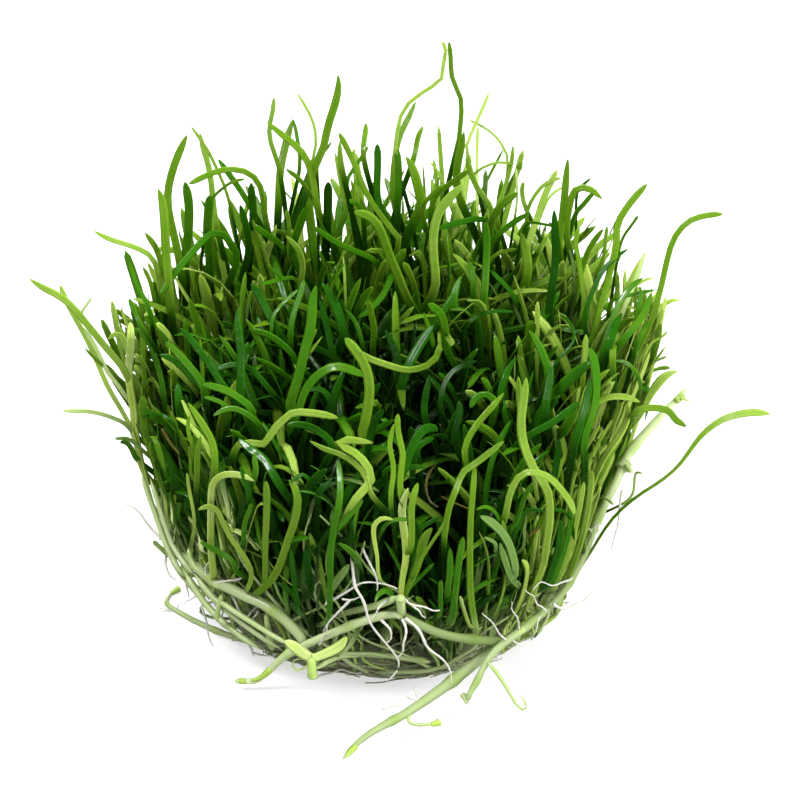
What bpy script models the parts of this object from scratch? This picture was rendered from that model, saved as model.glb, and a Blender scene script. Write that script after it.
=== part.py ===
"""Lilaeopsis clump: a cup-shaped mass of strap leaves on a flat mat of roots.

Metres, +Z up. The origin is the middle of the mat's flat underside, and the side with the trailing runners
faces -Y. The mat carries rings of plantlets. A plantlet is one crown with a leaf drawn out of each of its
sides. All leaves share one rule for how the mass widens upwards, so each keeps a column of its own.
"""

import math
import random

import bmesh
import bpy
from mathutils import Matrix, Vector

# Root mat, a turned disc. Radius and height of each ring, from the underside up.
MAT_RINGS = ((0.0215, 0.0), (0.0252, 0.0026), (0.0272, 0.0060), (0.0268, 0.0085))
MAT_SEGMENTS = 28
MAT_TOP = MAT_RINGS[-1][1]
GAP = 0.0003

# Plantlets stand in rings on the mat.
RING_SPACING = 0.0084
RING_COUNTS = (1, 6, 12, 18)
CROWN_SIDES = 6
CROWN_RADIUS = 0.0016
CROWN_HEIGHT = 0.0013
CROWN_FOOT = MAT_TOP + GAP

# The mass widens from the mat to its shoulder, fast at first.
LEAF_CIRCLE = 0.0029
MASS_FOOT_RADIUS = (len(RING_COUNTS) - 1) * RING_SPACING + LEAF_CIRCLE
MASS_TOP_RADIUS = 0.0398
MASS_WIDENING_HEIGHT = 0.019
CANOPY_HEIGHT = 0.052
CANOPY_DOME = 0.007
CANOPY_RISE_TO_BACK = 0.009
CANOPY_SPREAD = (0.78, 1.12)

# The hollow in the middle of the front, where the leaves are short.
HOLLOW_CENTRE = Vector((0.001, -0.026))
HOLLOW_RADIUS = 0.0075
HOLLOW_SHARE = 0.42

# Neighbouring leaves lean the same way: a slow wave across the mass that grows with height.
SWAY = 0.0016
SWAY_LENGTHS = (0.047, 0.039)

# A leaf is a narrow strap. It leaves its crown sideways, then stands up. Its sections are a width and a
# thickness: at its foot, then at shares of its height.
FOOT_RISE = 0.0027
FOOT_SHARE = 0.86
FOOT_SECTION = (0.0015, 0.0010)
BLADE_SECTION = (0.0023, 0.0009)
TIP_SECTION = (0.0010, 0.0005)
LEAF_SECTIONS = ((0.34, (0.0019, 0.0010)), (0.72, (0.0026, 0.0009)), (1.0, TIP_SECTION))

# Leaves that reach out of the mass, from where they leave it to the tip. One that leaves high up has a
# section more below that.
HIGH_LEAVING = 0.030
LONG_LEAVES = {
    "left arm": ((-0.0384, -0.005, 0.0395), (-0.0435, -0.005, 0.0490), (-0.0535, -0.005, 0.0590)),
    "left low": ((-0.0388, -0.009, 0.0340), (-0.0432, -0.009, 0.0380), (-0.0493, -0.008, 0.0386)),
    "left high": ((-0.0352, 0.000, 0.0540), (-0.0370, 0.000, 0.0610), (-0.0441, 0.000, 0.0645)),
    "left upright": ((-0.0315, 0.008, 0.0560), (-0.0330, 0.007, 0.0680), (-0.0301, 0.005, 0.0780)),
    "back left upright": ((-0.0165, 0.012, 0.0620), (-0.0182, 0.012, 0.0740), (-0.0172, 0.012, 0.0815)),
    "spoon": ((-0.0105, 0.010, 0.0620), (-0.0090, 0.010, 0.0760), (-0.0075, 0.010, 0.0858)),
    "tallest": ((0.0110, 0.006, 0.0660), (0.0115, 0.006, 0.0800), (0.0091, 0.006, 0.0925)),
    "right of tallest": ((0.0175, 0.010, 0.0590), (0.0205, 0.010, 0.0690), (0.0190, 0.010, 0.0745)),
    "right upright": ((0.0240, 0.008, 0.0560), (0.0235, 0.008, 0.0640), (0.0256, 0.008, 0.0714)),
    "right lean": ((0.0320, 0.005, 0.0500), (0.0345, 0.005, 0.0620), (0.0391, 0.005, 0.0703)),
    "right arch": (
        (0.0365, 0.001, 0.0390),
        (0.0415, 0.002, 0.0550),
        (0.0461, 0.003, 0.0640),
        (0.0508, 0.003, 0.0648),
    ),
    "right short": ((0.0368, -0.006, 0.0350), (0.0402, -0.006, 0.0420), (0.0438, -0.006, 0.0439)),
    "far right": (
        (0.0335, -0.0140, 0.0125),
        (0.0388, -0.0130, 0.0215),
        (0.0440, -0.0095, 0.0290),
        (0.0495, -0.0080, 0.0360),
        (0.0585, -0.0080, 0.0381),
    ),
    "back left": ((-0.0190, 0.0340, 0.0450), (-0.0225, 0.0390, 0.0540), (-0.0260, 0.0450, 0.0580)),
    "back": ((0.0100, 0.0370, 0.0480), (0.0110, 0.0420, 0.0590), (0.0120, 0.0490, 0.0635)),
    "back right": ((0.0290, 0.0260, 0.0400), (0.0325, 0.0305, 0.0500), (0.0380, 0.0370, 0.0545)),
}

# Runners: the diameter of each, and the points that it passes.
RUNNERS = {
    "runner_left": (
        0.0014,
        (
            (-0.0320, -0.0082, 0.0140),
            (-0.0258, -0.0205, 0.0150),
            (-0.0200, -0.0256, 0.0130),
            (-0.0142, -0.0277, 0.0092),
        ),
    ),
    "runner_front_left": (
        0.0013,
        (
            (-0.0230, -0.0250, 0.0012),
            (-0.0175, -0.0258, 0.0024),
            (-0.0132, -0.0306, 0.0080),
            (-0.0066, -0.0332, 0.0130),
            (0.0014, -0.0345, 0.0162),
        ),
    ),
    "runner_front_right": (
        0.0015,
        (
            (0.0034, -0.0342, 0.0152),
            (0.0077, -0.0330, 0.0127),
            (0.0117, -0.0312, 0.0106),
            (0.0158, -0.0288, 0.0094),
        ),
    ),
    "runner_right": (
        0.0018,
        (
            (0.0460, 0.0050, 0.0368),
            (0.0378, -0.0014, 0.0262),
            (0.0348, -0.0085, 0.0208),
            (0.0312, -0.0150, 0.0168),
            (0.0258, -0.0232, 0.0135),
            (0.0198, -0.0287, 0.0100),
            (0.0150, -0.0328, 0.0056),
            (0.0125, -0.0352, 0.0014),
        ),
    ),
    "runner_trailing": (
        0.0016,
        (
            (0.0146, -0.0285, 0.0032),
            (0.0100, -0.0325, 0.0022),
            (0.0046, -0.0352, 0.0015),
            (-0.0004, -0.0410, 0.0012),
            (-0.0040, -0.0468, 0.0011),
            (-0.0072, -0.0535, 0.0009),
        ),
    ),
    "runner_floor": (
        0.0010,
        (
            (-0.0176, -0.0165, 0.0011),
            (-0.0245, -0.0110, 0.0010),
            (-0.0310, -0.0035, 0.0010),
            (-0.0340, 0.0035, 0.0012),
        ),
    ),
    "runner_low": (
        0.0009,
        (
            (-0.0074, -0.0273, 0.0060),
            (-0.0012, -0.0283, 0.0063),
            (0.0020, -0.0282, 0.0060),
            (0.0066, -0.0275, 0.0053),
        ),
    ),
}
RUNNER_TIP_SHARE = 0.55
RUNNER_SIDES = 6

# White roots that hang free of the mat.
ROOT_DIAMETER = 0.0006
ROOT_SIDES = 4
ROOTS = (
    (
        (-0.0050, -0.0352, 0.0270),
        (-0.0052, -0.0356, 0.0215),
        (-0.0030, -0.0360, 0.0160),
        (0.0008, -0.0356, 0.0100),
        (0.0000, -0.0350, 0.0062),
    ),
    ((0.0036, -0.0356, 0.0130), (0.0058, -0.0358, 0.0108), (0.0084, -0.0350, 0.0078), (0.0106, -0.0342, 0.0055)),
    ((0.0022, -0.0358, 0.0138), (0.0024, -0.0364, 0.0110), (0.0014, -0.0368, 0.0085)),
    ((-0.0096, -0.0340, 0.0198), (-0.0058, -0.0346, 0.0206), (-0.0028, -0.0350, 0.0222), (0.0000, -0.0356, 0.0186)),
    ((0.0018, -0.0358, 0.0010), (-0.0006, -0.0368, 0.0005), (-0.0030, -0.0366, 0.0005)),
    ((-0.0284, -0.0168, 0.0050), (-0.0276, -0.0172, 0.0025), (-0.0266, -0.0180, 0.0008)),
)

# The young shoot at the front left: its crown, and its two leaves and stem.
SHOOT_CROWN = Vector((-0.0118, -0.0342, 0.0076))
SHOOT_CROWN_RADIUS = 0.0010
SHOOT_CROWN_HEIGHT = 0.0012
SHOOT_LEAVES = (
    ((-0.0090, -0.0348, 0.0096), (-0.0065, -0.0352, 0.0118)),
    ((-0.0140, -0.0348, 0.0092), (-0.0160, -0.0352, 0.0112)),
    ((-0.0118, -0.0355, 0.0045), (-0.0116, -0.0358, 0.0006)),
)

# The plantlet that the front runners carry at the node where they meet.
NODE_CROWN = Vector((0.0026, -0.0347, 0.0178))
NODE_CROWN_SIDES = 5
NODE_LEAF_TIPS = (
    (0.0088, -0.0325, 0.0370),
    (0.0066, -0.0300, 0.0400),
    (0.0030, -0.0305, 0.0440),
    (-0.0018, -0.0320, 0.0390),
    (0.0030, -0.0352, 0.0430),
)
NODE_LEAF_SHARES = (0.35, 0.75)

SEED = 14

MATERIALS = {
    "leaf": ((0.075, 0.235, 0.022), 0.38),
    "runner": ((0.53, 0.63, 0.32), 0.36),
    "root": ((0.66, 0.66, 0.60), 0.45),
    "root_mat": ((0.22, 0.26, 0.17), 0.75),
}


def clear_scene():
    for thing in list(bpy.data.objects):
        bpy.data.objects.remove(thing)


def make_material(name):
    colour, roughness = MATERIALS[name]
    material = bpy.data.materials.new(name)
    material.use_nodes = True
    shader = material.node_tree.nodes["Principled BSDF"]
    shader.inputs["Base Color"].default_value = (*colour, 1)
    shader.inputs["Roughness"].default_value = roughness
    shader.inputs["Metallic"].default_value = 0
    material.diffuse_color = (*colour, 1)
    return material


def add_object(name, data, material):
    thing = bpy.data.objects.new(name, data)
    data.materials.append(material)
    bpy.context.scene.collection.objects.link(thing)
    return thing


def polar(radius, angle, height=0.0):
    return Vector((radius * math.cos(angle), radius * math.sin(angle), height))


def widening(height):
    """How many times wider the mass is at this height than at the mat: it nears its shoulder exponentially."""
    rise = max(height - CROWN_FOOT, 0)
    reach = MASS_TOP_RADIUS - (MASS_TOP_RADIUS - MASS_FOOT_RADIUS) * math.exp(-rise / MASS_WIDENING_HEIGHT)
    return reach / MASS_FOOT_RADIUS


def column_point(column, height):
    """The point of a column at a height. A column is named by where it would cut the mat."""
    wide = widening(height)
    x_wave = math.sin(2 * math.pi * column.y / SWAY_LENGTHS[0])
    y_wave = math.sin(2 * math.pi * column.x / SWAY_LENGTHS[1] + 1)
    lean = SWAY * (height / CANOPY_HEIGHT) ** 2
    return Vector((column.x * wide + lean * x_wave, column.y * wide + lean * y_wave, height))


def canopy_height(column):
    """The height of the leaf tips over a column: a low dome that rises to the back and dips over the hollow."""
    share_out = column.xy.length / MASS_FOOT_RADIUS
    height = CANOPY_HEIGHT + CANOPY_DOME * (1 - share_out**2)
    height += CANOPY_RISE_TO_BACK * column.y / MASS_FOOT_RADIUS
    if (column.xy - HOLLOW_CENTRE).length < HOLLOW_RADIUS:
        height *= HOLLOW_SHARE
    return height


def side_faces(bm, centre):
    """The upright faces of a crown, in order of their angle round its centre."""
    upright = [face for face in bm.faces if abs(face.normal.z) < 0.5]
    return sorted(upright, key=lambda face: math.atan2(*(face.calc_center_median() - centre).yx) % (2 * math.pi))


def draw_out(bm, face, path, sections, wide_way):
    """Draws one side face of a crown out into a strap leaf along a path, one section at each point."""
    middle = face.calc_center_median()
    signs = []
    for vert in face.verts:
        away = vert.co - middle
        signs.append((math.copysign(0.5, away.dot(wide_way)), math.copysign(0.5, away.z)))
    before = middle
    for index, point in enumerate(path):
        face = bmesh.ops.extrude_discrete_faces(bm, faces=[face])["faces"][0]
        after = path[min(index + 1, len(path) - 1)]
        along = (after - before).normalized()
        wide = (wide_way - along * wide_way.dot(along)).normalized()
        thick = along.cross(wide)
        width, thickness = sections[index]
        for vert, (wide_sign, thick_sign) in zip(face.verts, signs):
            vert.co = point + wide * wide_sign * width + thick * thick_sign * thickness
        before = point


def crown_mesh(centre, sides, radius, height, turn):
    """A low prism, one of whose side faces looks along the direction turn."""
    bm = bmesh.new()
    first_corner = math.pi / 2
    place = Matrix.Translation(centre) @ Matrix.Rotation(turn - first_corner - math.pi / sides, 4, "Z")
    bmesh.ops.create_circle(bm, cap_ends=True, segments=sides, radius=radius, matrix=place)
    top = bmesh.ops.extrude_face_region(bm, geom=bm.faces[:])
    raised = [item for item in top["geom"] if isinstance(item, bmesh.types.BMVert)]
    bmesh.ops.translate(bm, verts=raised, vec=(0, 0, height))
    bmesh.ops.recalc_face_normals(bm, faces=bm.faces[:])
    return bm


def finish_mesh(bm, name):
    mesh = bpy.data.meshes.new(name)
    bm.to_mesh(mesh)
    bm.free()
    mesh.shade_smooth()
    mesh.set_sharp_from_angle(angle=math.radians(50))
    return mesh


def leaf_foot(crown, angle):
    """The first point of a leaf, just outside its crown."""
    return column_point(crown + polar(LEAF_CIRCLE * FOOT_SHARE, angle), CROWN_FOOT + FOOT_RISE)


def ordinary_leaf(crown, angle, chance):
    """Path and sections of a leaf that stays in its column, from its crown to the canopy."""
    column = crown + polar(LEAF_CIRCLE, angle)
    length = canopy_height(column) * chance.uniform(*CANOPY_SPREAD) - CROWN_FOOT
    path = [leaf_foot(crown, angle)]
    path += [column_point(column, CROWN_FOOT + length * share) for share, _ in LEAF_SECTIONS]
    return path, [FOOT_SECTION, *(section for _, section in LEAF_SECTIONS)]


def long_leaf(crown, angle, points):
    """Path and sections of a leaf that leaves its column at its first point."""
    column = crown + polar(LEAF_CIRCLE, angle)
    path = [leaf_foot(crown, angle)]
    if points[0].z > HIGH_LEAVING:
        path.append(column_point(column, (CROWN_FOOT + points[0].z) / 2))
    sections = [FOOT_SECTION] + [BLADE_SECTION] * (len(path) + len(points) - 2) + [TIP_SECTION]
    return path + list(points), sections


def crown_places():
    """Centre of each crown on the mat and the direction of its first leaf, ring by ring."""
    places = []
    for ring, count in enumerate(RING_COUNTS):
        for index in range(count):
            angle = 2 * math.pi * (index + 0.5 * (ring % 2)) / count
            places.append((polar(ring * RING_SPACING, angle), angle))
    return places


def leaf_angle(turn, index):
    return turn + 2 * math.pi * index / CROWN_SIDES


def share_out_long_leaves(places):
    """Gives each long leaf the leaf place that lies nearest under the point where it leaves the mass."""
    chosen = {}
    for points in LONG_LEAVES.values():
        points = [Vector(point) for point in points]
        foot = points[0].xy / widening(points[0].z)
        best = min(
            (
                ((crown + polar(LEAF_CIRCLE, leaf_angle(turn, index))).xy - foot).length,
                number,
                index,
            )
            for number, (crown, turn) in enumerate(places)
            for index in range(CROWN_SIDES)
            if (number, index) not in chosen
        )
        chosen[best[1:]] = points
    return chosen


def make_plantlets(material):
    chance = random.Random(SEED)
    places = crown_places()
    long_ones = share_out_long_leaves(places)
    for number, (crown, turn) in enumerate(places):
        foot = crown + Vector((0, 0, CROWN_FOOT))
        bm = crown_mesh(foot, CROWN_SIDES, CROWN_RADIUS, CROWN_HEIGHT, turn)
        faces = side_faces(bm, foot)
        for face in faces:
            out = face.calc_center_median() - foot
            index = round((math.atan2(out.y, out.x) - turn) / (2 * math.pi / CROWN_SIDES)) % CROWN_SIDES
            angle = leaf_angle(turn, index)
            if (number, index) in long_ones:
                path, sections = long_leaf(crown, angle, long_ones[number, index])
            else:
                path, sections = ordinary_leaf(crown, angle, chance)
            draw_out(bm, face, path, sections, polar(1, angle + math.pi / 2))
        name = f"plantlet_{number + 1:02d}"
        add_object(name, finish_mesh(bm, name), material)


def make_root_mat(material):
    """The turned mat: its profile is spun round Z and closed on the axis."""
    bm = bmesh.new()
    profile = [(0.0, 0.0), *MAT_RINGS, (0.0, MAT_TOP)]
    verts = [bm.verts.new((radius, 0, height)) for radius, height in profile]
    edges = [bm.edges.new(pair) for pair in zip(verts, verts[1:])]
    bmesh.ops.spin(
        bm, geom=verts + edges, axis=(0, 0, 1), cent=(0, 0, 0), angle=2 * math.pi, steps=MAT_SEGMENTS, use_merge=True
    )
    bmesh.ops.remove_doubles(bm, verts=bm.verts[:], dist=1e-6)
    bmesh.ops.recalc_face_normals(bm, faces=bm.faces[:])
    add_object("root_mat", finish_mesh(bm, "root_mat"), material)


def make_stem(name, points, diameter, sides, tip_share, material):
    """A round stem through the points, thinner at its last point."""
    curve = bpy.data.curves.new(name, "CURVE")
    curve.dimensions = "3D"
    curve.bevel_depth = diameter / 2
    curve.bevel_resolution = (sides - 4) // 2
    curve.resolution_u = 2
    curve.use_fill_caps = True
    spline = curve.splines.new("BEZIER")
    spline.bezier_points.add(len(points) - 1)
    for knot, point in zip(spline.bezier_points, points):
        knot.co = point
        knot.handle_left_type = "AUTO"
        knot.handle_right_type = "AUTO"
    spline.bezier_points[-1].radius = tip_share
    return add_object(name, curve, material)


def make_small_plantlet(name, crown, radius, height, turn, paths, sections, material):
    """A crown off the mat, with one leaf for each path, taken in order of their angle round it."""
    bm = crown_mesh(crown, len(paths), radius, height, turn)
    for face, path in zip(side_faces(bm, crown), paths):
        out = face.calc_center_median() - crown
        draw_out(bm, face, path, sections, Vector((-out.y, out.x, 0)).normalized())
    add_object(name, finish_mesh(bm, name), material)


def make_young_shoot(material):
    paths = [[Vector(point) for point in points] for points in SHOOT_LEAVES]
    sections = (FOOT_SECTION, TIP_SECTION)
    turn = math.radians(30)
    make_small_plantlet(
        "young_shoot", SHOOT_CROWN, SHOOT_CROWN_RADIUS, SHOOT_CROWN_HEIGHT, turn, paths, sections, material
    )


def make_node_plantlet(material):
    """Each leaf leaves the crown sideways and runs straight up to its tip."""
    paths = []
    for index, tip in enumerate(NODE_LEAF_TIPS):
        angle = math.pi * (2 * index + 1) / NODE_CROWN_SIDES
        foot = NODE_CROWN + polar(LEAF_CIRCLE * FOOT_SHARE, angle, FOOT_RISE)
        tip = Vector(tip)
        paths.append([foot, *(foot.lerp(tip, share) for share in NODE_LEAF_SHARES), tip])
    sections = (FOOT_SECTION, *(section for _, section in LEAF_SECTIONS))
    turn = math.pi / NODE_CROWN_SIDES
    make_small_plantlet("plantlet_38", NODE_CROWN, CROWN_RADIUS, CROWN_HEIGHT, turn, paths, sections, material)


def main():
    clear_scene()
    materials = {name: make_material(name) for name in MATERIALS}
    make_root_mat(materials["root_mat"])
    make_plantlets(materials["leaf"])
    for name, (diameter, points) in RUNNERS.items():
        make_stem(name, points, diameter, RUNNER_SIDES, RUNNER_TIP_SHARE, materials["runner"])
    for number, points in enumerate(ROOTS, start=1):
        make_stem(f"root_{number:02d}", points, ROOT_DIAMETER, ROOT_SIDES, RUNNER_TIP_SHARE, materials["root"])
    make_young_shoot(materials["leaf"])
    make_node_plantlet(materials["leaf"])


main()
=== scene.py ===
"""Dresses a lilaeopsis clump: strap leaves, runners, roots and the root mat, and the studio it stands in.

Metres, +Z up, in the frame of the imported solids. A leaf, a runner and a root are all the same kind of
surface, a section carried along a path. The crowns carry seeded leaves. The leaves that the eye picks out
follow routes drawn on the picture, and each goes on from there down its own column to the mat.
"""

import math

import bpy
import numpy as np
from bpy.props import FloatProperty, FloatVectorProperty, IntProperty, PointerProperty
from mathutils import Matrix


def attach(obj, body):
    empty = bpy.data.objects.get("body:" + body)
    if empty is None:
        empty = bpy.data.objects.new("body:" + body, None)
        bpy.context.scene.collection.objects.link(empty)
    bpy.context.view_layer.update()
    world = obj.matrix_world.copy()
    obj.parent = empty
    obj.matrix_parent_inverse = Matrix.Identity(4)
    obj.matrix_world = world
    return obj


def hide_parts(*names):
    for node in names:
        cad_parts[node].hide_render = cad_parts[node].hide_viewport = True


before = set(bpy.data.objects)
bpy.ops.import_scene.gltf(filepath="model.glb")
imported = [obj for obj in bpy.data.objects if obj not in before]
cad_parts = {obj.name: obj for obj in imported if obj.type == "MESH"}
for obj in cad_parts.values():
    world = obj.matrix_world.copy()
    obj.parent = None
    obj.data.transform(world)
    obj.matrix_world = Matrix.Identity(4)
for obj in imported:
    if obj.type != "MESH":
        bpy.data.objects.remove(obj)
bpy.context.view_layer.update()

bl_info = {
    "name": "Lilaeopsis clump",
    "version": (1, 0, 0),
    "blender": (4, 5, 0),
    "location": "3D View > Sidebar > Lilaeopsis",
    "description": "Leaves, runners and roots of a lilaeopsis clump around its solids",
    "category": "Add Mesh",
}

MM = 0.001

# The picture is square and this many pixels wide. Widths that are read from it are turned into millimetres by
# the scale at the middle of the clump. The camera's sensor is as wide in millimetres as this.
PICTURE_SIZE = 800
PIXELS_PER_MM = 6.5
SENSOR_WIDTH = 36

# The solids' own rules, which every leaf repeats.
MAT_RINGS = ((0.0215, 0.0), (0.0252, 0.0026), (0.0272, 0.0060), (0.0268, 0.0085))
CROWN_FOOT = 0.0088
RING_SPACING = 0.0084
RING_COUNTS = (1, 6, 12, 18)
MASS_FOOT_RADIUS = 0.0281
MASS_TOP_RADIUS = 0.0398
MASS_WIDENING_HEIGHT = 0.019
CANOPY_HEIGHT = 0.052
CANOPY_DOME = 0.007
CANOPY_RISE_TO_BACK = 0.009
HOLLOW_CENTRE = (0.001, -0.026)
HOLLOW_RADIUS = 0.0075

# Where the leaves are sparse and darkened by painted shade: the middle of the front, on the mat, and the
# radii between which the mass gets back to its usual fullness.
DARK_CENTRE = (0.002, -0.017)
DARK_RADII = (0.006, 0.015)

# How far columns sway sideways at the canopy's height, and the lengths of the waves along Y and along X.
SWAY = 0.0016
SWAY_LENGTHS = (0.047, 0.039)

# The plantlets that each piece stands for: the middle one with the first ring, the second ring, and the outer
# ring shared out by side.
CROWN_GROUPS = {
    "leaves_inner": range(1, 8),
    "leaves_middle": range(8, 20),
    "leaves_right": (20, 21, 36, 37),
    "leaves_back": (22, 23, 24, 25, 26),
    "leaves_left": (27, 28, 29, 30),
    "leaves_front": (31, 32, 33, 34, 35),
}

# The tones by their letters in the routes: withered, waxy, deep, dark, middle, bright, lime, young, fresh and
# pale.
TONES = {
    "N": -0.1,
    "G": 0.06,
    "K": 0.18,
    "D": 0.28,
    "M": 0.44,
    "B": 0.60,
    "L": 0.76,
    "Y": 0.88,
    "F": 0.94,
    "P": 1.0,
}

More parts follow.
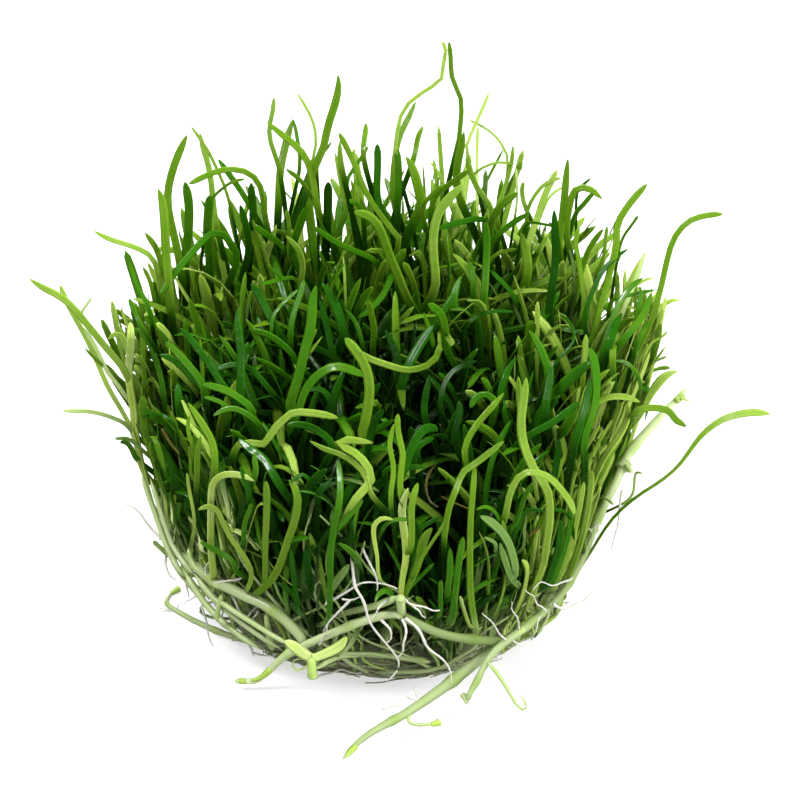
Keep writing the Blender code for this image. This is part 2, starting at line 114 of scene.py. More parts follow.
# Routes of the leaves that stand out, from tip to foot, in pixels of the picture. Each starts with its tone
# and its width in pixels, which in some is followed by the foot's width and the share of the length at which
# the leaf starts to widen. Some then have the depth of the tip in millimetres, negative in front of the mat's
# middle. A line that starts with a point goes on with the route above it.
LEAF_ROUTES = {
    "tall_leaves_left": """
        L 7 -5 30,279 41,287 56,294 69,303 82,318 99,339 112,355 124,368 135,395
        Y 6 -2 60,285 68,305 77,321 87,339 99,366 107,386 119,406 131,427 141,463 148,485 160,525
        P 5 -3 84,328 99,353 106,371 118,385 128,400
        P 3 -4 92,297 85,308 80,318
        B 4 -3 85,348 94,358 106,368 121,380
        L 7 0 108,340 115,333 122,336 126,346 130,356
        F 8 -2 130,322 131,339 130,359 128,374 131,392 134,412 135,434 140,456 146,481
        P 4.5 -8 62,411 72,411 84,411 99,413 113,418 125,423 134,434
        P 4 -12 115,439 128,438 140,448
        M 6 -6 120,442 127,442 134,453 138,462
        L 6 0 94,231 108,239 126,244 144,251 153,258 158,272 161,285
        B 6 2 145,233 153,243 159,254 164,280
        M 5 1 129,262 137,287 144,297 150,310
        B 5 3 143,267 149,278 153,292
        M 5 0 129,299 134,310 140,325
        B 9 4 158,189 163,202 165,229 166,256 170,300
        B 8 9 187,135 178,155 171,175 167,197 170,220 180,260
        L 3.5 12 191,126 200,139 209,152 216,167 222,180 228,196
        L 6 13 200,133 203,148 209,166 212,189 215,220
        B 6 4 189,184 207,175 221,170 234,169 248,172 257,180 263,193 264,215
        M 6 11 218,159 227,171 236,184 245,197
        M 9 3 185,182 189,202 189,229 185,256
        M 9 2 210,195 208,215 207,238 210,255
        D 8 4 251,183 252,202 254,215
        M 7 0 160,295 171,278 187,258 197,247 207,236 214,232 223,233 230,243 240,258
        B 3 3 245,179 230,182 218,193 210,200
        M 7 0 132,328 143,333 150,343 156,361 162,383 165,405
        M 8 166,342 175,350 187,364 198,377 206,391
        D 7 180,328 191,339 201,353 212,368 220,383 235,400
        D 7 159,355 172,358 184,368 195,383 205,388
    """,
    "tall_leaves_top": """
        B 5 18 274,97 273,112 269,126 270,141 275,155 279,166
        B 8 16 267,122 281,134 294,144 306,157 312,175 315,193 317,211
        B 8 20 293,119 288,135 284,152 280,170 279,193
        M 4 20 293,119 296,130 298,144 301,166
        L 3 22 297,93 306,107 313,121 316,135 315,155
        B 9 14 338,75 339,87 335,105 330,119 326,134 324,148 313,170
        L 3 15 332,141 325,152 317,159
        B 6 9 339,133 349,152 357,170 362,184 371,202 384,220 394,233 402,243
        L 6 12 340,141 340,162
        B 6 21 366,123 365,139 362,155
        D 8 15 377,144 378,160 377,184 378,205
        M 4 19 368,146 362,157 353,170 344,186
        M 7 13 397,148 399,170 398,193
        Y 4 7 442,41 447,51 442,65 444,74 439,82 425,91 414,98 405,107 399,120 397,135 394,160
        B 7 17 416,101 409,117 402,130 397,144 394,166 392,195
        B 6 20 423,126 417,139 415,157
        B 10 9 406,157 414,170 419,193 422,205
        B 5 6 449,41 451,58 451,76 457,89 462,101 461,117 460,130 459,140
        B 8 6 464,132 461,150 459,157 455,190
        L 3 11 430,162 437,170 443,183
        Y 3.5 19 489,93 483,108 476,123 470,137 465,150
        L 3 18 469,120 480,125 494,134 501,144 509,157
        F 3.5 18 478,126 477,150 477,180 477,216
        K 9 2 328,182 328,210
        B 5 4 286,169 301,180 312,197
        M 5 2 349,201 362,206
        B 9 -6 354,212 367,215 376,222 384,238 389,256 400,279 405,296
        L 6 -4 286,236 295,245 302,256 303,274 300,292
        M 8 0 308,206 303,216 297,234 290,256
        M 3 -4 267,265 279,276 290,290
        M 5 -6 263,284 281,279 300,278
        M 6 0 255,226 268,236 285,247
        M 6 -2 315,227 326,236 344,247 362,254 378,262
        B 5 6 286,210 290,230 288,252
        D 7 4 240,205 246,225 250,250
    """,
    "tall_leaves_right": """
        L 5 15 513,145 512,162 506,184 500,202 495,215
        L 3 13 515,164 501,162 490,164 479,170 472,175
        B 6 4 470,170 459,177 445,188 432,198
        L 6 6 466,157 472,177 481,195 495,211
        L 9 0 463,185 456,191 445,203 436,218 433,240 434,265 437,290
        B 8 2 518,193 506,200 495,213 490,225
        L 5 8 523,182 522,202
        Y 7 12 557,170 549,186 542,202 537,220 531,234 525,260
        L 4 14 561,178 549,181 539,189 531,202 526,213
        L 3 17 563,187 553,193 546,202 541,216
        B 8 10 568,159 566,180 564,202 561,229 558,247
        B 7 8 602,199 591,189 580,187 572,193 569,211 565,234
        M 5 11 597,189 587,200 580,209 575,213
        D 3 13 591,178 583,185 576,192
        B 5 2 578,228 575,242 579,260 582,285 585,310
        B 6 2 603,229 591,245 584,261 580,278
        L 4 4 607,226 605,243 603,265
        B 7 3 647,184 634,198 623,213 616,227 617,243 614,256 605,290 598,315 592,340
        B 3 3 638,216 629,229 620,242
        D 5 1 628,249 620,254 607,265 598,278 591,296 583,320
        K 8 3 554,210 555,229 556,256 553,283 548,310
        P 5 6 645,251 638,274 628,300 615,330
        M 6 0 643,278 632,285 623,297 616,309 611,323 606,338 601,356
        M 4 0 655,290 637,293 620,298 608,302
        M 7 -1 651,293 647,307 637,325 625,337
        M 5 -1 640,286 641,299 636,318
        B 6:3.6:0.05 3 723,214 708,215 692,219 682,227 674,238 668,255 660,293 649,328 632,361 619,385 606,420
        L 3 1 668,331 661,338 653,341 647,349 640,375 634,390
        Y 10:5:0.78 0 677,371 666,375 660,381 653,390 647,401 636,425
        D 8 -2 622,313 616,325 609,344
        B 7 -3 618,332 614,342 612,359
        M 4 -3 614,361 627,362 635,371 640,382 640,396
        M 5 0 648,321 644,330 637,342
        B 7 -6 686,427 683,424 675,420 670,411 660,408 645,408 633,412
        L 9:4.5:0.62 -8 770,414 755,412 740,414 725,418 715,424 707,430 697,440 682,462 670,474 655,485
            640,494 620,510 605,528 592,550 582,565 573,577
        P 3 -7 643,474 638,472 635,474 634,485 630,502
        G 4 569,249 573,263 575,279
        M 8 486,222 487,250 485,280 484,300
        M 9 461,276 455,290 452,310
        M 6 469,261 473,274 473,292
        D 5 490,270 503,283 515,297
        B 4 517,249 501,252 490,259
        B 9 521,233 526,252 529,274
        D 6 3 437,229 452,224 470,220 490,219
        M 6 3 530,213 515,221 500,233 488,247
        M 3 3 555,226 540,224 525,222
        D 3 4 549,222 556,232 560,246
        P 2.5 12 516,168 517,185 517,205
        B 5 6 441,186 430,197 420,210
    """,
    "front_leaves_left": """
        M 8 202,384 216,387 232,393 245,403 256,413
        M 5 204,397 216,400 232,410
        M 6 213,416 223,410 234,408 245,413 257,422
        D 6 216,370 228,365 242,365 253,370 268,388
        M 6 219,335 228,347 235,358
        D 9 238,309 237,328 241,349 241,362 240,400
        B 7 188,403 195,413 206,430 213,443 215,459 214,477
        B 4 190,415 187,427 191,441 195,456
        B 6 201,436 198,447 197,462 197,480
        D 3 142,418 154,413 166,416 176,425
        D 8 178,383 178,392 179,406
        B 3 189,446 191,464 192,482
        Y 3.5:7.5:0.12 -24 187,473 189,489 193,508 195,527 191,545 189,562 187,578
        F 7:8:0.3 -31 254,481 244,476 233,474 222,475 213,482 211,495 211,516 211,556 214,572 213,588 206,598
        L 6 -30 198,510 207,506 218,510 223,524 233,542 242,553 250,567 252,578 247,590
        M 6 -27 200,542 212,548 226,556 236,564 236,575
        P 5 -14 153,541 164,551 175,559
        B 7.5 -33 289,480 296,490 298,503 295,521 289,537 283,556 278,570 268,585 255,594
        D 4 290,483 298,476 305,474 308,480
        K 6 332,478 326,485 315,497
        B 7:6:0.5 -33 266,481 267,500 266,524 265,550 265,575 264,590
        M 5 252,503 249,513 244,524 244,540
        D 6 240,467 246,480 250,500
        K 7 305,549 308,572 313,596
        D 5 291,550 293,572 297,596 298,617
        L 7 -31 338,418 320,414 302,412 290,413 283,421 274,428 268,440 264,445 249,443 237,443
        D 8 -30 238,438 249,449 261,456 270,468 279,485
        M 6 255,452 254,462 257,475
        M 7 251,330 264,333 276,339 287,349 296,359
        M 4 299,289 287,299 276,311 271,320 271,339
        M 6 304,280 299,299 292,317 290,339
        D 8 251,284 260,296 268,314 280,335
        D 6 308,391 318,388 326,393 330,400
        D 7 286,425 299,424 314,428 326,437 335,448
        L 5 305,430 318,432 330,440
    """,
    "front_leaves_middle": """
        M 9.5 -22 316,286 312,302 312,320 308,339 302,361 299,377 293,394 289,409
        M 9 -25 365,376 356,372 346,368 334,366 323,371 311,381 302,396 298,415
        B 9.5 -28 345,338 352,346 361,358 367,371 370,388 368,406 365,424 361,441
        L 7 -29 358,350 367,358 381,363 396,368 409,371 421,368 431,364 438,355 442,343 440,325
        M 8 -25 428,304 440,312 446,330 445,352
        L 6 -25 453,345 447,336 441,328
        M 7 358,318 371,308 383,296 390,280 395,270
        M 5 346,310 353,318 359,330 362,344
        B 7 -22 368,300 372,318 375,331 372,350
        D 9.5 322,283 334,300 340,318 345,339
        L 6 -33 310,441 323,449 337,453 349,459 361,469 368,481 369,495
        L 8 -35 373,443 359,441 345,440 337,443 345,448 356,453 367,465 372,476 370,485 359,493 347,515
        M 5 -35 363,500 355,510 345,520 335,532
        B 7 355,408 367,405 383,402
        K 8 -32 383,409 375,421 370,434 368,455
        D 6 -32 394,420 381,427 370,434
        B 6 -34 398,414 397,427 400,441 403,453 402,465 399,500
        B 5 394,424 389,443 391,454 394,468 392,485 390,500
        D 6 427,467 415,467 403,468 381,469
        D 9 -31 438,431 431,427 421,431 414,443 408,455 402,475
        D 6 434,438 422,443 415,453
        B 7 418,483 414,495 411,510 412,530 411,548
        M 6.5 -35 338,460 340,480 340,500 335,520 332,540 330,560 330,600 328,625
        K 4 350,515 352,530 353,545
        M 7 338,543 347,548 358,560
        Y 5:3.4:0.7 -36 394,520 386,518 380,519 375,524 373,530 375,545 378,560 378,580
        M 4 413,520 400,519 385,523
        B 3.5 -36 450,512 444,524 437,535 428,548 420,562 414,576
        D 9 433,325 415,352 400,385
        K 7 320,300 328,330 334,362
        K 8 385,330 396,352 400,378
        K 7 430,375 425,398 424,420
    """,
    "front_leaves_right": """
        B 7 504,393 494,405 482,418 473,430 466,443 464,456
        B 7:2.5:0.04 -36 504,441 494,449 484,457 472,466 463,471 459,481 455,492 450,504 447,516 446,527
            444,537
        B 6:7:0.4 -36 474,461 474,480 472,500 470,530 470,560 470,590 473,615 477,640
        L 9 -35 526,378 525,391 522,409 521,427 523,443 533,469 543,482 550,497 549,530 545,548 541,580
        L 7 -37 575,515 571,503 563,492 553,480 543,474 530,471 520,475 513,485 508,500 506,515
        D 4 -35 546,512 535,509 525,511 519,520 515,540
        D 3.5 -28 552,510 562,510 570,517 573,530 573,550
        M 5 533,482 525,495 520,510 513,530
        G 3 527,515 523,535 525,550
        D 8 516,358 508,369 504,383 498,400
        M 7 470,408 476,397 485,394 492,397 497,410
        K 6 477,361 466,364 456,369 447,377 442,391 439,412
        K 7 459,401 460,412 457,427 453,441
        D 4 514,312 500,311 485,312 473,320 462,328
        M 9 590,348 595,362 597,383 595,405 589,424 583,441
        L 7 -12 640,402 628,397 612,396 600,400 590,408 580,420 573,432 571,445 574,465
        D 7 580,402 569,410 554,422 539,430 526,437
        Y 8:7:0.4 -10 628,402 628,418 619,437 605,455 594,478 587,505 580,530
        L 3 -12 612,420 600,440 588,462 580,485 577,510
        Y 5 -14 600,425 590,440 580,458 572,480 568,505 564,530
        B 4 -7 632,425 620,440 609,458 600,480
        D 3 560,314 570,322 575,335 572,345 562,355 554,365
        M 8 529,330 538,343 544,358 550,375
        D 5 503,400 506,405 503,412
        D 9 552,365 547,397 544,415
        L 6:7:0.2 -22 592,470 590,495 586,520 580,545 573,565 566,580
        L 6:7:0.2 -23 584,482 580,505 575,530 568,555 560,575 553,592
        M 6:7:0.2 -25 572,500 570,525 565,550 556,575 548,592
        D 8 -27 560,520 560,545 552,570 543,590
        L 7 -28 548,545 543,565 534,590 527,612
        G 9 -35 480,516 490,521 500,530 508,541 513,556 516,572 512,580
        G 7 -33 500,543 504,558 509,572 514,583
        M 4 476,510 484,506 492,509 498,516
        G 4 484,537 492,541 497,546
        M 7 463,537 460,555 457,575 454,600 450,625
        M 6 450,548 450,575 446,600
        M 4.5 441,580 440,600 440,620
        M 6 452,590 455,610 450,628
        F 4 460,596 463,607 467,620 473,631
        D 8 590,380 585,410 575,440
        K 7 560,440 556,465 552,490
    """,
    "loose_leaves": """
        N 3.5 -13 161,428 165,434 170,443 176,450 182,456
        N 3 -24 438,462 432,468 428,475 426,483 426,490 428,497 431,503 438,507
        N 2 -30 441,496 448,500 455,503 462,506 469,509
        N 3 -32 541,525 537,530 531,534 526,539
        D 2.5 -38 308,665 301,670 295,670 292,665 295,660 302,659 308,662
        D 5 -36 359,629 354,639 347,649 338,656
    """,
    "node_plantlet_leaves": """
        F 8:6:0.1 -39.5 408,488 405,496 402,506 402,515 404,530 406,545 406,560 403,575 401,590 402,604
        B 9:5:0.2 -38 432,528 426,535 422,545 419,560 414,575 407,589 402,602
        D 5 -33.5 442,516 425,525 418,532 414,560 408,590 402,610
        M 4 -34 434,563 422,575 412,585 405,596 402,610
        M 6 -37.8 375,602 378,595 383,591 388,591 392,595 395,602
    """,
}

# The plantlet on the front runners: its piece, and the foot that its leaves share, a pixel and a depth.
NODE_PLANTLET = "node_plantlet_leaves"
NODE_FOOT = ("402,616", -0.0347)

# The leaves of the young shoot, and the foot that they share.
YOUNG_SHOOT = """
    F 11:9:0 -35.4 285,641 292,645 299,651 306,656
    F 10:8:0 -35.6 347,637 341,645 333,650 322,655 314,658
"""
SHOOT_FOOT = ("311,657", -0.0345)

# How a routed leaf lies: its tip keeps this share of the way back that the mass takes behind it, and it
# stands this far in front of the side and of its neighbours, and no further back than this depth. One that is
# well inside from foot to tip leans back by this much.
TIP_FOLLOWS_MASS = 0.35
STANDS_OUT = 0.0012
STANDS_PROUD = 0.0014
MOST_DEPTH = 0.012
LEANS_BACK = 0.006

# A smooth path: points between two knots, and how often they are smoothed.
STEPS_BETWEEN_KNOTS = 12
ROUTE_SMOOTHING = 48

# A routed leaf's foot has the first of these shares of its full width, and it starts to widen at the second
# share of its length. Every leaf widens over this share of its length.
FOOT = (0.68, 0.05)
WIDENING = 0.62

# Where leaves meet the mat: this high, and at most this far from its middle.
LEAF_END = 0.0060
MOST_FOOT_RADIUS = 0.0270

# A routed leaf goes on down to the mat this far behind its lowest drawn point, up to this far beside it and
# at least this far below it. Its knots down there are about this far apart, and painted shade darkens it over
# this length to this share.
GOES_BACK = 0.006
GOES_ASIDE = 0.007
LEAST_DROP = 0.001
KNOT_SPACING = 0.006
HIDDEN_FADE = 0.007
HIDDEN_SHADE = 0.8

# A routed blade faces the camera, turned and twisted by up to these angles in degrees.
BLADE_TURN = 30
BLADE_TWIST = 40

# Points along a seeded leaf, along a routed leaf, and along a strand where it is looked up on the picture.
SEEDED_SAMPLES = 14
ROUTED_SAMPLES = 30
COVER_SAMPLES = 80

# Seeded leaves of the mass: the shares of the canopy's height that full and short ones reach, the degrees by
# which straight, bent and hooked ones bend, how far they lean in radians, their widths as shares of the usual
# one, and how common each tone is.
FULL_HEIGHTS = (0.80, 1.10)
SHORT_HEIGHTS = (0.3, 0.9)
STRAIGHT = (0, 35)
BENT = (25, 85)
HOOKED = (85, 150)
MASS_LEAN = 0.27
MASS_WIDTHS = (0.72, 1.25)
MASS_TONES = {"G": 0.03, "K": 0.12, "D": 0.38, "M": 0.33, "B": 0.11, "L": 0.03}

# What the tone of every leaf rises by from its foot to its tip.
TONE_RISE = 0.05

# A leaf that strays this far past the side of the mass, low down and at the canopy, goes on outwards by only
# this share.
STRAY = (0.0005, 0.0024)
STRAY_HEIGHTS = (0.026, 0.046)
STRAY_SHARE = 0.3

# How many pixels a seeded leaf keeps from the edge of a drawn one behind it, how far in front of it hides it,
# and the steps by which a leaf that hides one is moved back.
CLEARANCE = 2
IN_FRONT = 0.0002
STEPS_BACK = 4
STEP_BACK = 0.003

# How far behind its side and below its canopy the painted shade of the mass is at its full.
DARK_BEHIND_SIDE = 0.008
DARK_BELOW_CANOPY = 0.0135

# The thin runners that creep up the side of the mass: how many, their samples and sides, the range of their
# radii, where they start and end in height, and how far they stand out and are sunk in at their feet.
SIDE_RUNNERS = 52
SIDE_SAMPLES = 20
SIDE_SIDES = 6
SIDE_RADII = (0.00022, 0.00042)
SIDE_FOOT = 0.0035
SIDE_TOPS = (0.014, 0.036)
SIDE_PROUD = 0.0004
SIDE_SUNK = 0.0022

# The leaves at their nodes: a node at every so many samples, how long the long and short ones are, from which
# share of their length they bend, by how many degrees, how far they lean, their widths, tones and feet.
SIDE_NODE_STEP = 4
SIDE_LEAVES_PER_NODE = 3
LONG_LENGTHS = (0.012, 0.030)
SHORT_LENGTHS = (0.005, 0.012)
LONG_STARTS = (0.4, 0.85)
SHORT_STARTS = (0.05, 0.5)
SIDE_BENT = (0, 50)
SIDE_HOOKED = (50, 150)
SIDE_LEAN = 0.22
SIDE_WIDTHS = (0.6, 0.95)
SIDE_TONES = {"G": 0.05, "K": 0.08, "D": 0.27, "M": 0.28, "B": 0.17, "L": 0.11, "Y": 0.04}
SIDE_FEET = (0.6, 0.05)

# The side bulges by this much at the bearing of its bulge. Leaves have the palest feet at another bearing,
# and those within this angle of the front are darkened by painted shade.
BULGE = 0.0042
BULGE_BEARING = math.radians(187)
PALE_BEARING = math.radians(215)
DARK_FRONT = 0.42

# How far apart a runner's nodes are, how long each swelling is, and by what share it is thicker.
NODE_SPACING = 0.0125
NODE_LENGTH = 0.0011
NODE_SWELLING = 0.22

# How much painted shade darkens a side shoot that has the stem's colour.
SHOOT_SHADE = 0.5

# Samples along and sides round a runner, a side shoot, a white root and a fibre of the mat.
RUNNER_TUBE = (90, 10)
SHOOT_TUBE = (24, 8)
ROOT_TUBE = (32, 7)
FIBRE_TUBE = (12, 4)

# How far a white root waves, as a share of its length.
ROOT_WAVE = 0.035

# The mat: points round it, points up its side and across its faces, how rough its side is, and the number of
# its fibres and how far they wave.
MAT_AROUND = 168
MAT_SIDE_ROWS = 14
MAT_FACE_ROWS = 6
MAT_ROUGHNESS = 0.0005
FIBRES = 520
FIBRE_WAVE = 0.0006

# Half the floor's width, and how much of its colour is plain white even under the clump.
FLOOR_HALF = 0.9
SHADOWLESS = 0.6

# The dome's radius, its rings, the points in each, and the angle at which the rings end from the top and from
# the bottom.
DOME_RADIUS = 2.5
DOME_RINGS = 16
DOME_AROUND = 24
DOME_END = 0.02

# Where each light stands, and how wide it is. Only the key light shows in glossy surfaces.
LIGHTS = {
    "key": ((-0.38, -0.36, 0.78), 0.3),
    "fill": ((0.6, -0.3, 0.4), 0.6),
    "back": ((0.1, 0.6, 0.6), 0.7),
}

# Runners: name, how much painted shade darkens it and how thick in millimetres it is at shares of its length,
# the solids that it stands for, and its route in pixels, each point with its depth in millimetres.
RUNNER_ROUTES = {
    "runner_left_stem": (
        ((0, 0.45), (1, 0.5)),
        ((0, 0.8), (0.08, 1.45), (0.5, 1.65), (1, 1.5)),
        ("runner_left",),
        "178,553,-9.5 191,562,-13.6 204,574,-18.2 217,583,-21.4 230,588,-23.6 244,596,-25.6 260,602,-27.2"
        " 276,612,-28.3 290,625,-29.2 300,636,-29.8 304,643,-30.4",
    ),
    "runner_front_left_stem": (
        ((0, 0), (0.3, 0.1), (1, 0.3)),
        ((0, 0.6), (0.05, 0.85), (0.3, 1.2), (1, 1.35)),
        ("runner_front_left",),
        "235,681,-25.6 245,681,-25.7 258,681,-25.7 272,668,-26 280,660,-27.5 290,652,-29 303,646,-30.6"
        " 321,638,-31.8 340,630,-32.7 360,622,-33.5 380,616,-34 395,613,-34.5 403,617,-34.7",
    ),
    "runner_front_right_stem": (
        ((0, 0.55), (0.3, 0.78), (1, 0.84)),
        ((0, 1.35), (0.8, 1.45), (1, 1.0)),
        ("runner_front_right",),
        "402,617,-34.5 415,622,-34 430,630,-33.4 445,635,-32.6 460,638,-31.6 478,640,-30.4"
        " 494,641,-29.4 506,641,-28.8 514,638,-28.4",
    ),
    "runner_right_stem": (
        ((0, 0), (0.25, 0.1), (0.45, 0.7), (0.7, 0.55), (1, 0.5)),
        ((0, 0.4), (0.03, 0.9), (0.12, 1.35), (0.3, 1.4), (0.6, 1.1), (0.8, 1.3), (1, 0.8)),
        ("runner_right",),
        "686,388,5 678,398,4 668,408,3 650,428,1 635,445,-0.5 625,460,-1.5 618,478,-3.5 612,490,-5.5"
        " 602,510,-7 593,530,-8.5 585,553,-11 573,577,-14.5 560,597,-19.5 540,615,-25 520,632,-28.5"
        " 500,645,-30.5 484,665,-32.3 478,680,-33.4 470,692,-34.4 467,703,-35",
    ),
    "runner_trailing_stem": (
        ((0, 0.58), (1, 0.52)),
        ((0, 1.6), (0.3, 1.7), (0.9, 0.8), (1, 0.35)),
        ("runner_trailing",),
        "520,633,-27.8 492,648,-28.6 474,664,-30.2 456,678,-31.9 440,690,-33.5 420,704,-35.5 405,714,-38.2"
        " 390,722,-40.6 370,733,-44.4 355,745,-48.8 348,753,-51.6 343,759,-53.6",
    ),
    "runner_floor_stem": (
        ((0, 0.45), (1, 0.4)),
        ((0, 1.0), (0.7, 0.85), (1, 0.4)),
        ("runner_floor",),
        "274,650,-16.6 252,642,-13.6 230,636,-10.6 210,628,-7.2 193,620,-4.2 177,613,-1.2 168,606,0.8"
        " 166,602,2 170,594,4.5 179,589,6",
    ),
    "runner_low_stem": (
        ((0, 0.5), (1, 0.5)),
        ((0, 0.4), (0.1, 0.9), (0.9, 0.9), (1, 0.4)),
        ("runner_low",),
        "340,655,-27.3 360,654,-27.9 380,655,-28.2 400,657,-28.3 430,662,-27.5",
    ),
}

# Shoots and buds on the runners: how far the tone is from the stem's to the bud's, the widths at the start
# and at the end in pixels, and the route, each point with its depth in millimetres.
SHOOT_ROUTES = """
    0.6 4 2 487,662,-32.6 492,667,-33 497,673,-33.4 507,688,-34.4 515,703,-35 522,710,-35.6
        526,709,-35.6 525,700,-35.2 518,694,-35
    0.5 4 3 421,704,-35.6 413,711,-37 408,718,-38.6 410,724,-39.8 425,725,-40 436,723,-39.4
    1 4 8 430,724.5,-39.8 434,724,-39.6 438,723,-39.4 441,721,-39.2
    1 8 3 272,668,-26.4 266,673,-26.2 260,678,-26.2 250,681,-26.2
    1 5 7 246,681,-25.9 243,681,-25.9 239,681,-25.9
    0.9 7 4 356,746,-49.4 351,751,-51 346,757,-53
    0.6 8 11 208,577,-19.2 215,582,-21.2 222,586,-22.4
    0.7 5 8 515,636,-29 519,632,-28.8 524,629,-28
    0.3 13 15 628,459,-1.4 624,464,-1.8 620,470,-2.6
    0.6 5 6 625,465,-3 629,468,-3.4 631,473,-3.8
    0.8 8 6 675,402,3.2 680,398,3.6 685,394,4
    0.8 3 2 680,398,3 686,400,3.4 690,401,3.8
    0.5 4 3 604,497,-7.2 609,500,-8 614,505,-9
    0.9 4 8 170,594,4.4 175,591,5.2 180,588,6
    0.3 7 4 462,694,-33.4 466,699,-34.4 467,704,-35.2
    0.3 4 3 340,652,-28.6 352,654,-28.6 372,653,-28.8 391,657,-28.8
    0.2 5 4 232,641,-11.5 244,634,-14 258,632,-17 276,640,-20
    0.3 5 7 141,470,-4 146,488,-5 152,505,-6 158,522,-7.5 165,543,-9.5 174,562,-11.5 184,577,-13.5
    0.2 5 6 150,478,-6 157,500,-8 164,522,-10 172,545,-12 182,560,-14 194,575,-16
    0.3 7 6 184,570,-13 194,588,-15 207,606,-17 223,622,-19 241,637,-21 262,650,-23
    0.2 7 6 194,573,-16.5 207,591,-18.6 223,607,-20.6 241,622,-22.6 262,637,-25 282,650,-27
    0.4 6 5 216,598,-21 232,610,-23 250,621,-25 270,634,-27.4 292,646,-29.6
    0.6 5 5 222,594,-21.8 220,604,-21.6 217,614,-21 219,620,-20.8
    0.5 5 8 266,612,-26.4 268,628,-26 270,640,-25.6 273,651,-24.8
    0.5 5 5 203,574,-18 196,568,-16.8 191,560,-15.6 188,548,-15
    0.5 8 10 402,615,-34.2 401,606,-35.6 400,595,-36.8
    0.5 8 6 399,596,-36.4 388,601,-35.2 376,606,-33.6 362,609,-32 345,613,-30.4 328,619,-29.4
    0.3 4 6 313,669,-34.2 319,667,-33.4 328,662,-31.4 337,657,-29.4 348,655,-28.2 365,655,-28
    0.8 8 10 311,657,-34.6 312,665,-34.9 312,673,-35 313,680,-35
    0.4 7 6 311,657,-34.1 306,652,-32.8 302,647,-31.2
"""

# White roots: width in pixels and route, each point with its depth in millimetres.
ROOT_ROUTES = """
    3.5 352,556,-35.4 353,575,-35.7 354,588,-36 362,597,-36.2 369,617,-36.2 380,638,-35.8
        388,650,-35.4 396,660,-35.2 391,669,-35 387,677,-34.8
    3 326,604,-33.8 335,599,-34.4 345,593,-35 354,588,-35.6 362,585,-36 372,583,-36.2
        385,584,-36.2 395,587,-36
    2.5 342,599,-34.6 350,600,-35 362,597,-35.8
    3 350,600,-35.2 343,608,-35 335,616,-34.6 328,622,-34 325,630,-33.6
    2.5 319,645,-32 324,635,-32.8 329,625,-33.6
    3 388,600,-35.6 380,606,-35.8 375,613,-36 373,620,-36
    3 381,620,-35.6 390,628,-35.8 391,637,-35.8 386,643,-35.4
    3 362,548,-35.8 368,560,-36 374,572,-36.2 376,580,-36.2 377,592,-36
    3 401,595,-35.8 408,602,-36 415,606,-36 425,608,-35.8 441,610,-35.2
    2.5 412,605,-36 420,612,-36 425,618,-35.8
    3 402,619,-35.6 406,628,-36.2 405,640,-36.6 402,652,-36.4 398,660,-36
    3.5 405,618,-35.4 418,628,-35.6 424,638,-35.8 430,650,-35.6 440,660,-35.2 448,670,-34.6
        453,680,-34
    2.2 546,611,-25.6 541,606,-27 535,601,-28.6 529,594,-29.8 526,588,-30.2
    2.2 520,632,-28.5 518,622,-29.6 515,614,-30.6 511,606,-31.2 510,600,-31.4
    2.2 506,640,-30.2 500,634,-31.2 494,627,-32.2 487,618,-32.8 484,612,-33
    2.5 572,578,-18.5 564,583,-22 556,584,-25 546,583,-27 538,586,-28.4 531,592,-29.2
    2.2 512,640,-29.6 519,645,-30 525,644,-29.6 530,641,-29
    2 540,616,-25.5 537,624,-27 536,630,-27.6 533,637,-27.6
    3.2 553,604,-24 560,608,-23 568,609,-22 575,606,-20.5 581,602,-19 586,596,-18.2 589,590,-17.6
    3 622,490,-4.5 620,503,-6 618,515,-7 617,526,-8 615,538,-9 613,550,-10
    2 590,530,-11.5 596,526,-12 602,523,-11.6 608,520,-11 613,517,-10
    2.5 415,688,-35 417,698,-35.4
    2.5 408,697,-36 416,700,-35.6 424,701,-35.2
    2.5 383,709,-38.4 393,705,-37 400,707,-36.8
    2 425,679,-33.4 433,675,-32.6
    2.5 202,607,-17 206,622,-16.4 209,633,-15.4 213,644,-14.6
    2.5 232,595,-22.4 240,612,-22.6 248,620,-22.8 258,605,-24.6
    2.5 222,582,-20 240,580,-23 248,578,-24
    3.5 161,539,-7 153,530,-6 146,521,-5.5 139,513,-5 132,508,-4.6 124,506,-4.2
    3.5 166,556,-7 165,562,-7.6 168,572,-8.6 176,581,-10
    2 173,611,-0.4 166,609,0 160,608,0.4
    2 173,613,-0.6 167,617,-0.6 161,620,-0.6
    2 176,609,-0.8 179,605,-0.6 179,602,-0.4
    3 215,583,-22 224,581,-23 234,579,-24 248,577,-25
    2.5 196,596,-14 190,600,-13.4 184,603,-13
    2.5 186,585,-13 188,592,-13 188,597,-12.6
    3 233,597,-22.8 238,607,-23 241,615,-23.2
    2.5 258,611,-24.8 255,617,-24.6 250,621,-24
    2.5 207,578,-19.6 205,570,-19.6 208,562,-20
    3 246,640,-19.6 251,648,-19.8 254,656,-19.4
    2.5 252,652,-19.6 262,656,-20.6 274,655,-22
    3 315,678,-23.5 335,670,-25 360,672,-26
"""


def linear(code):
    """A colour written as six hex digits, as the linear values that a shader takes."""
    shares = np.array([int(code[start : start + 2], 16) for start in (0, 2, 4)]) / 255
    return tuple(np.where(shares <= 0.04045, shares / 12.92, ((shares + 0.055) / 1.055) ** 2.4))


def colour(name, code, description):
    return FloatVectorProperty(
        name=name, description=description, subtype="COLOR", size=3, min=0, max=1, default=linear(code)
    )


def amount(name, value, description, **kind):
    return FloatProperty(name=name, description=description, default=value, **kind)


def length(name, value, description):
    return amount(name, value, description, subtype="DISTANCE", unit="LENGTH")


def power(name, value, description):
    return amount(name, value, description, subtype="POWER")


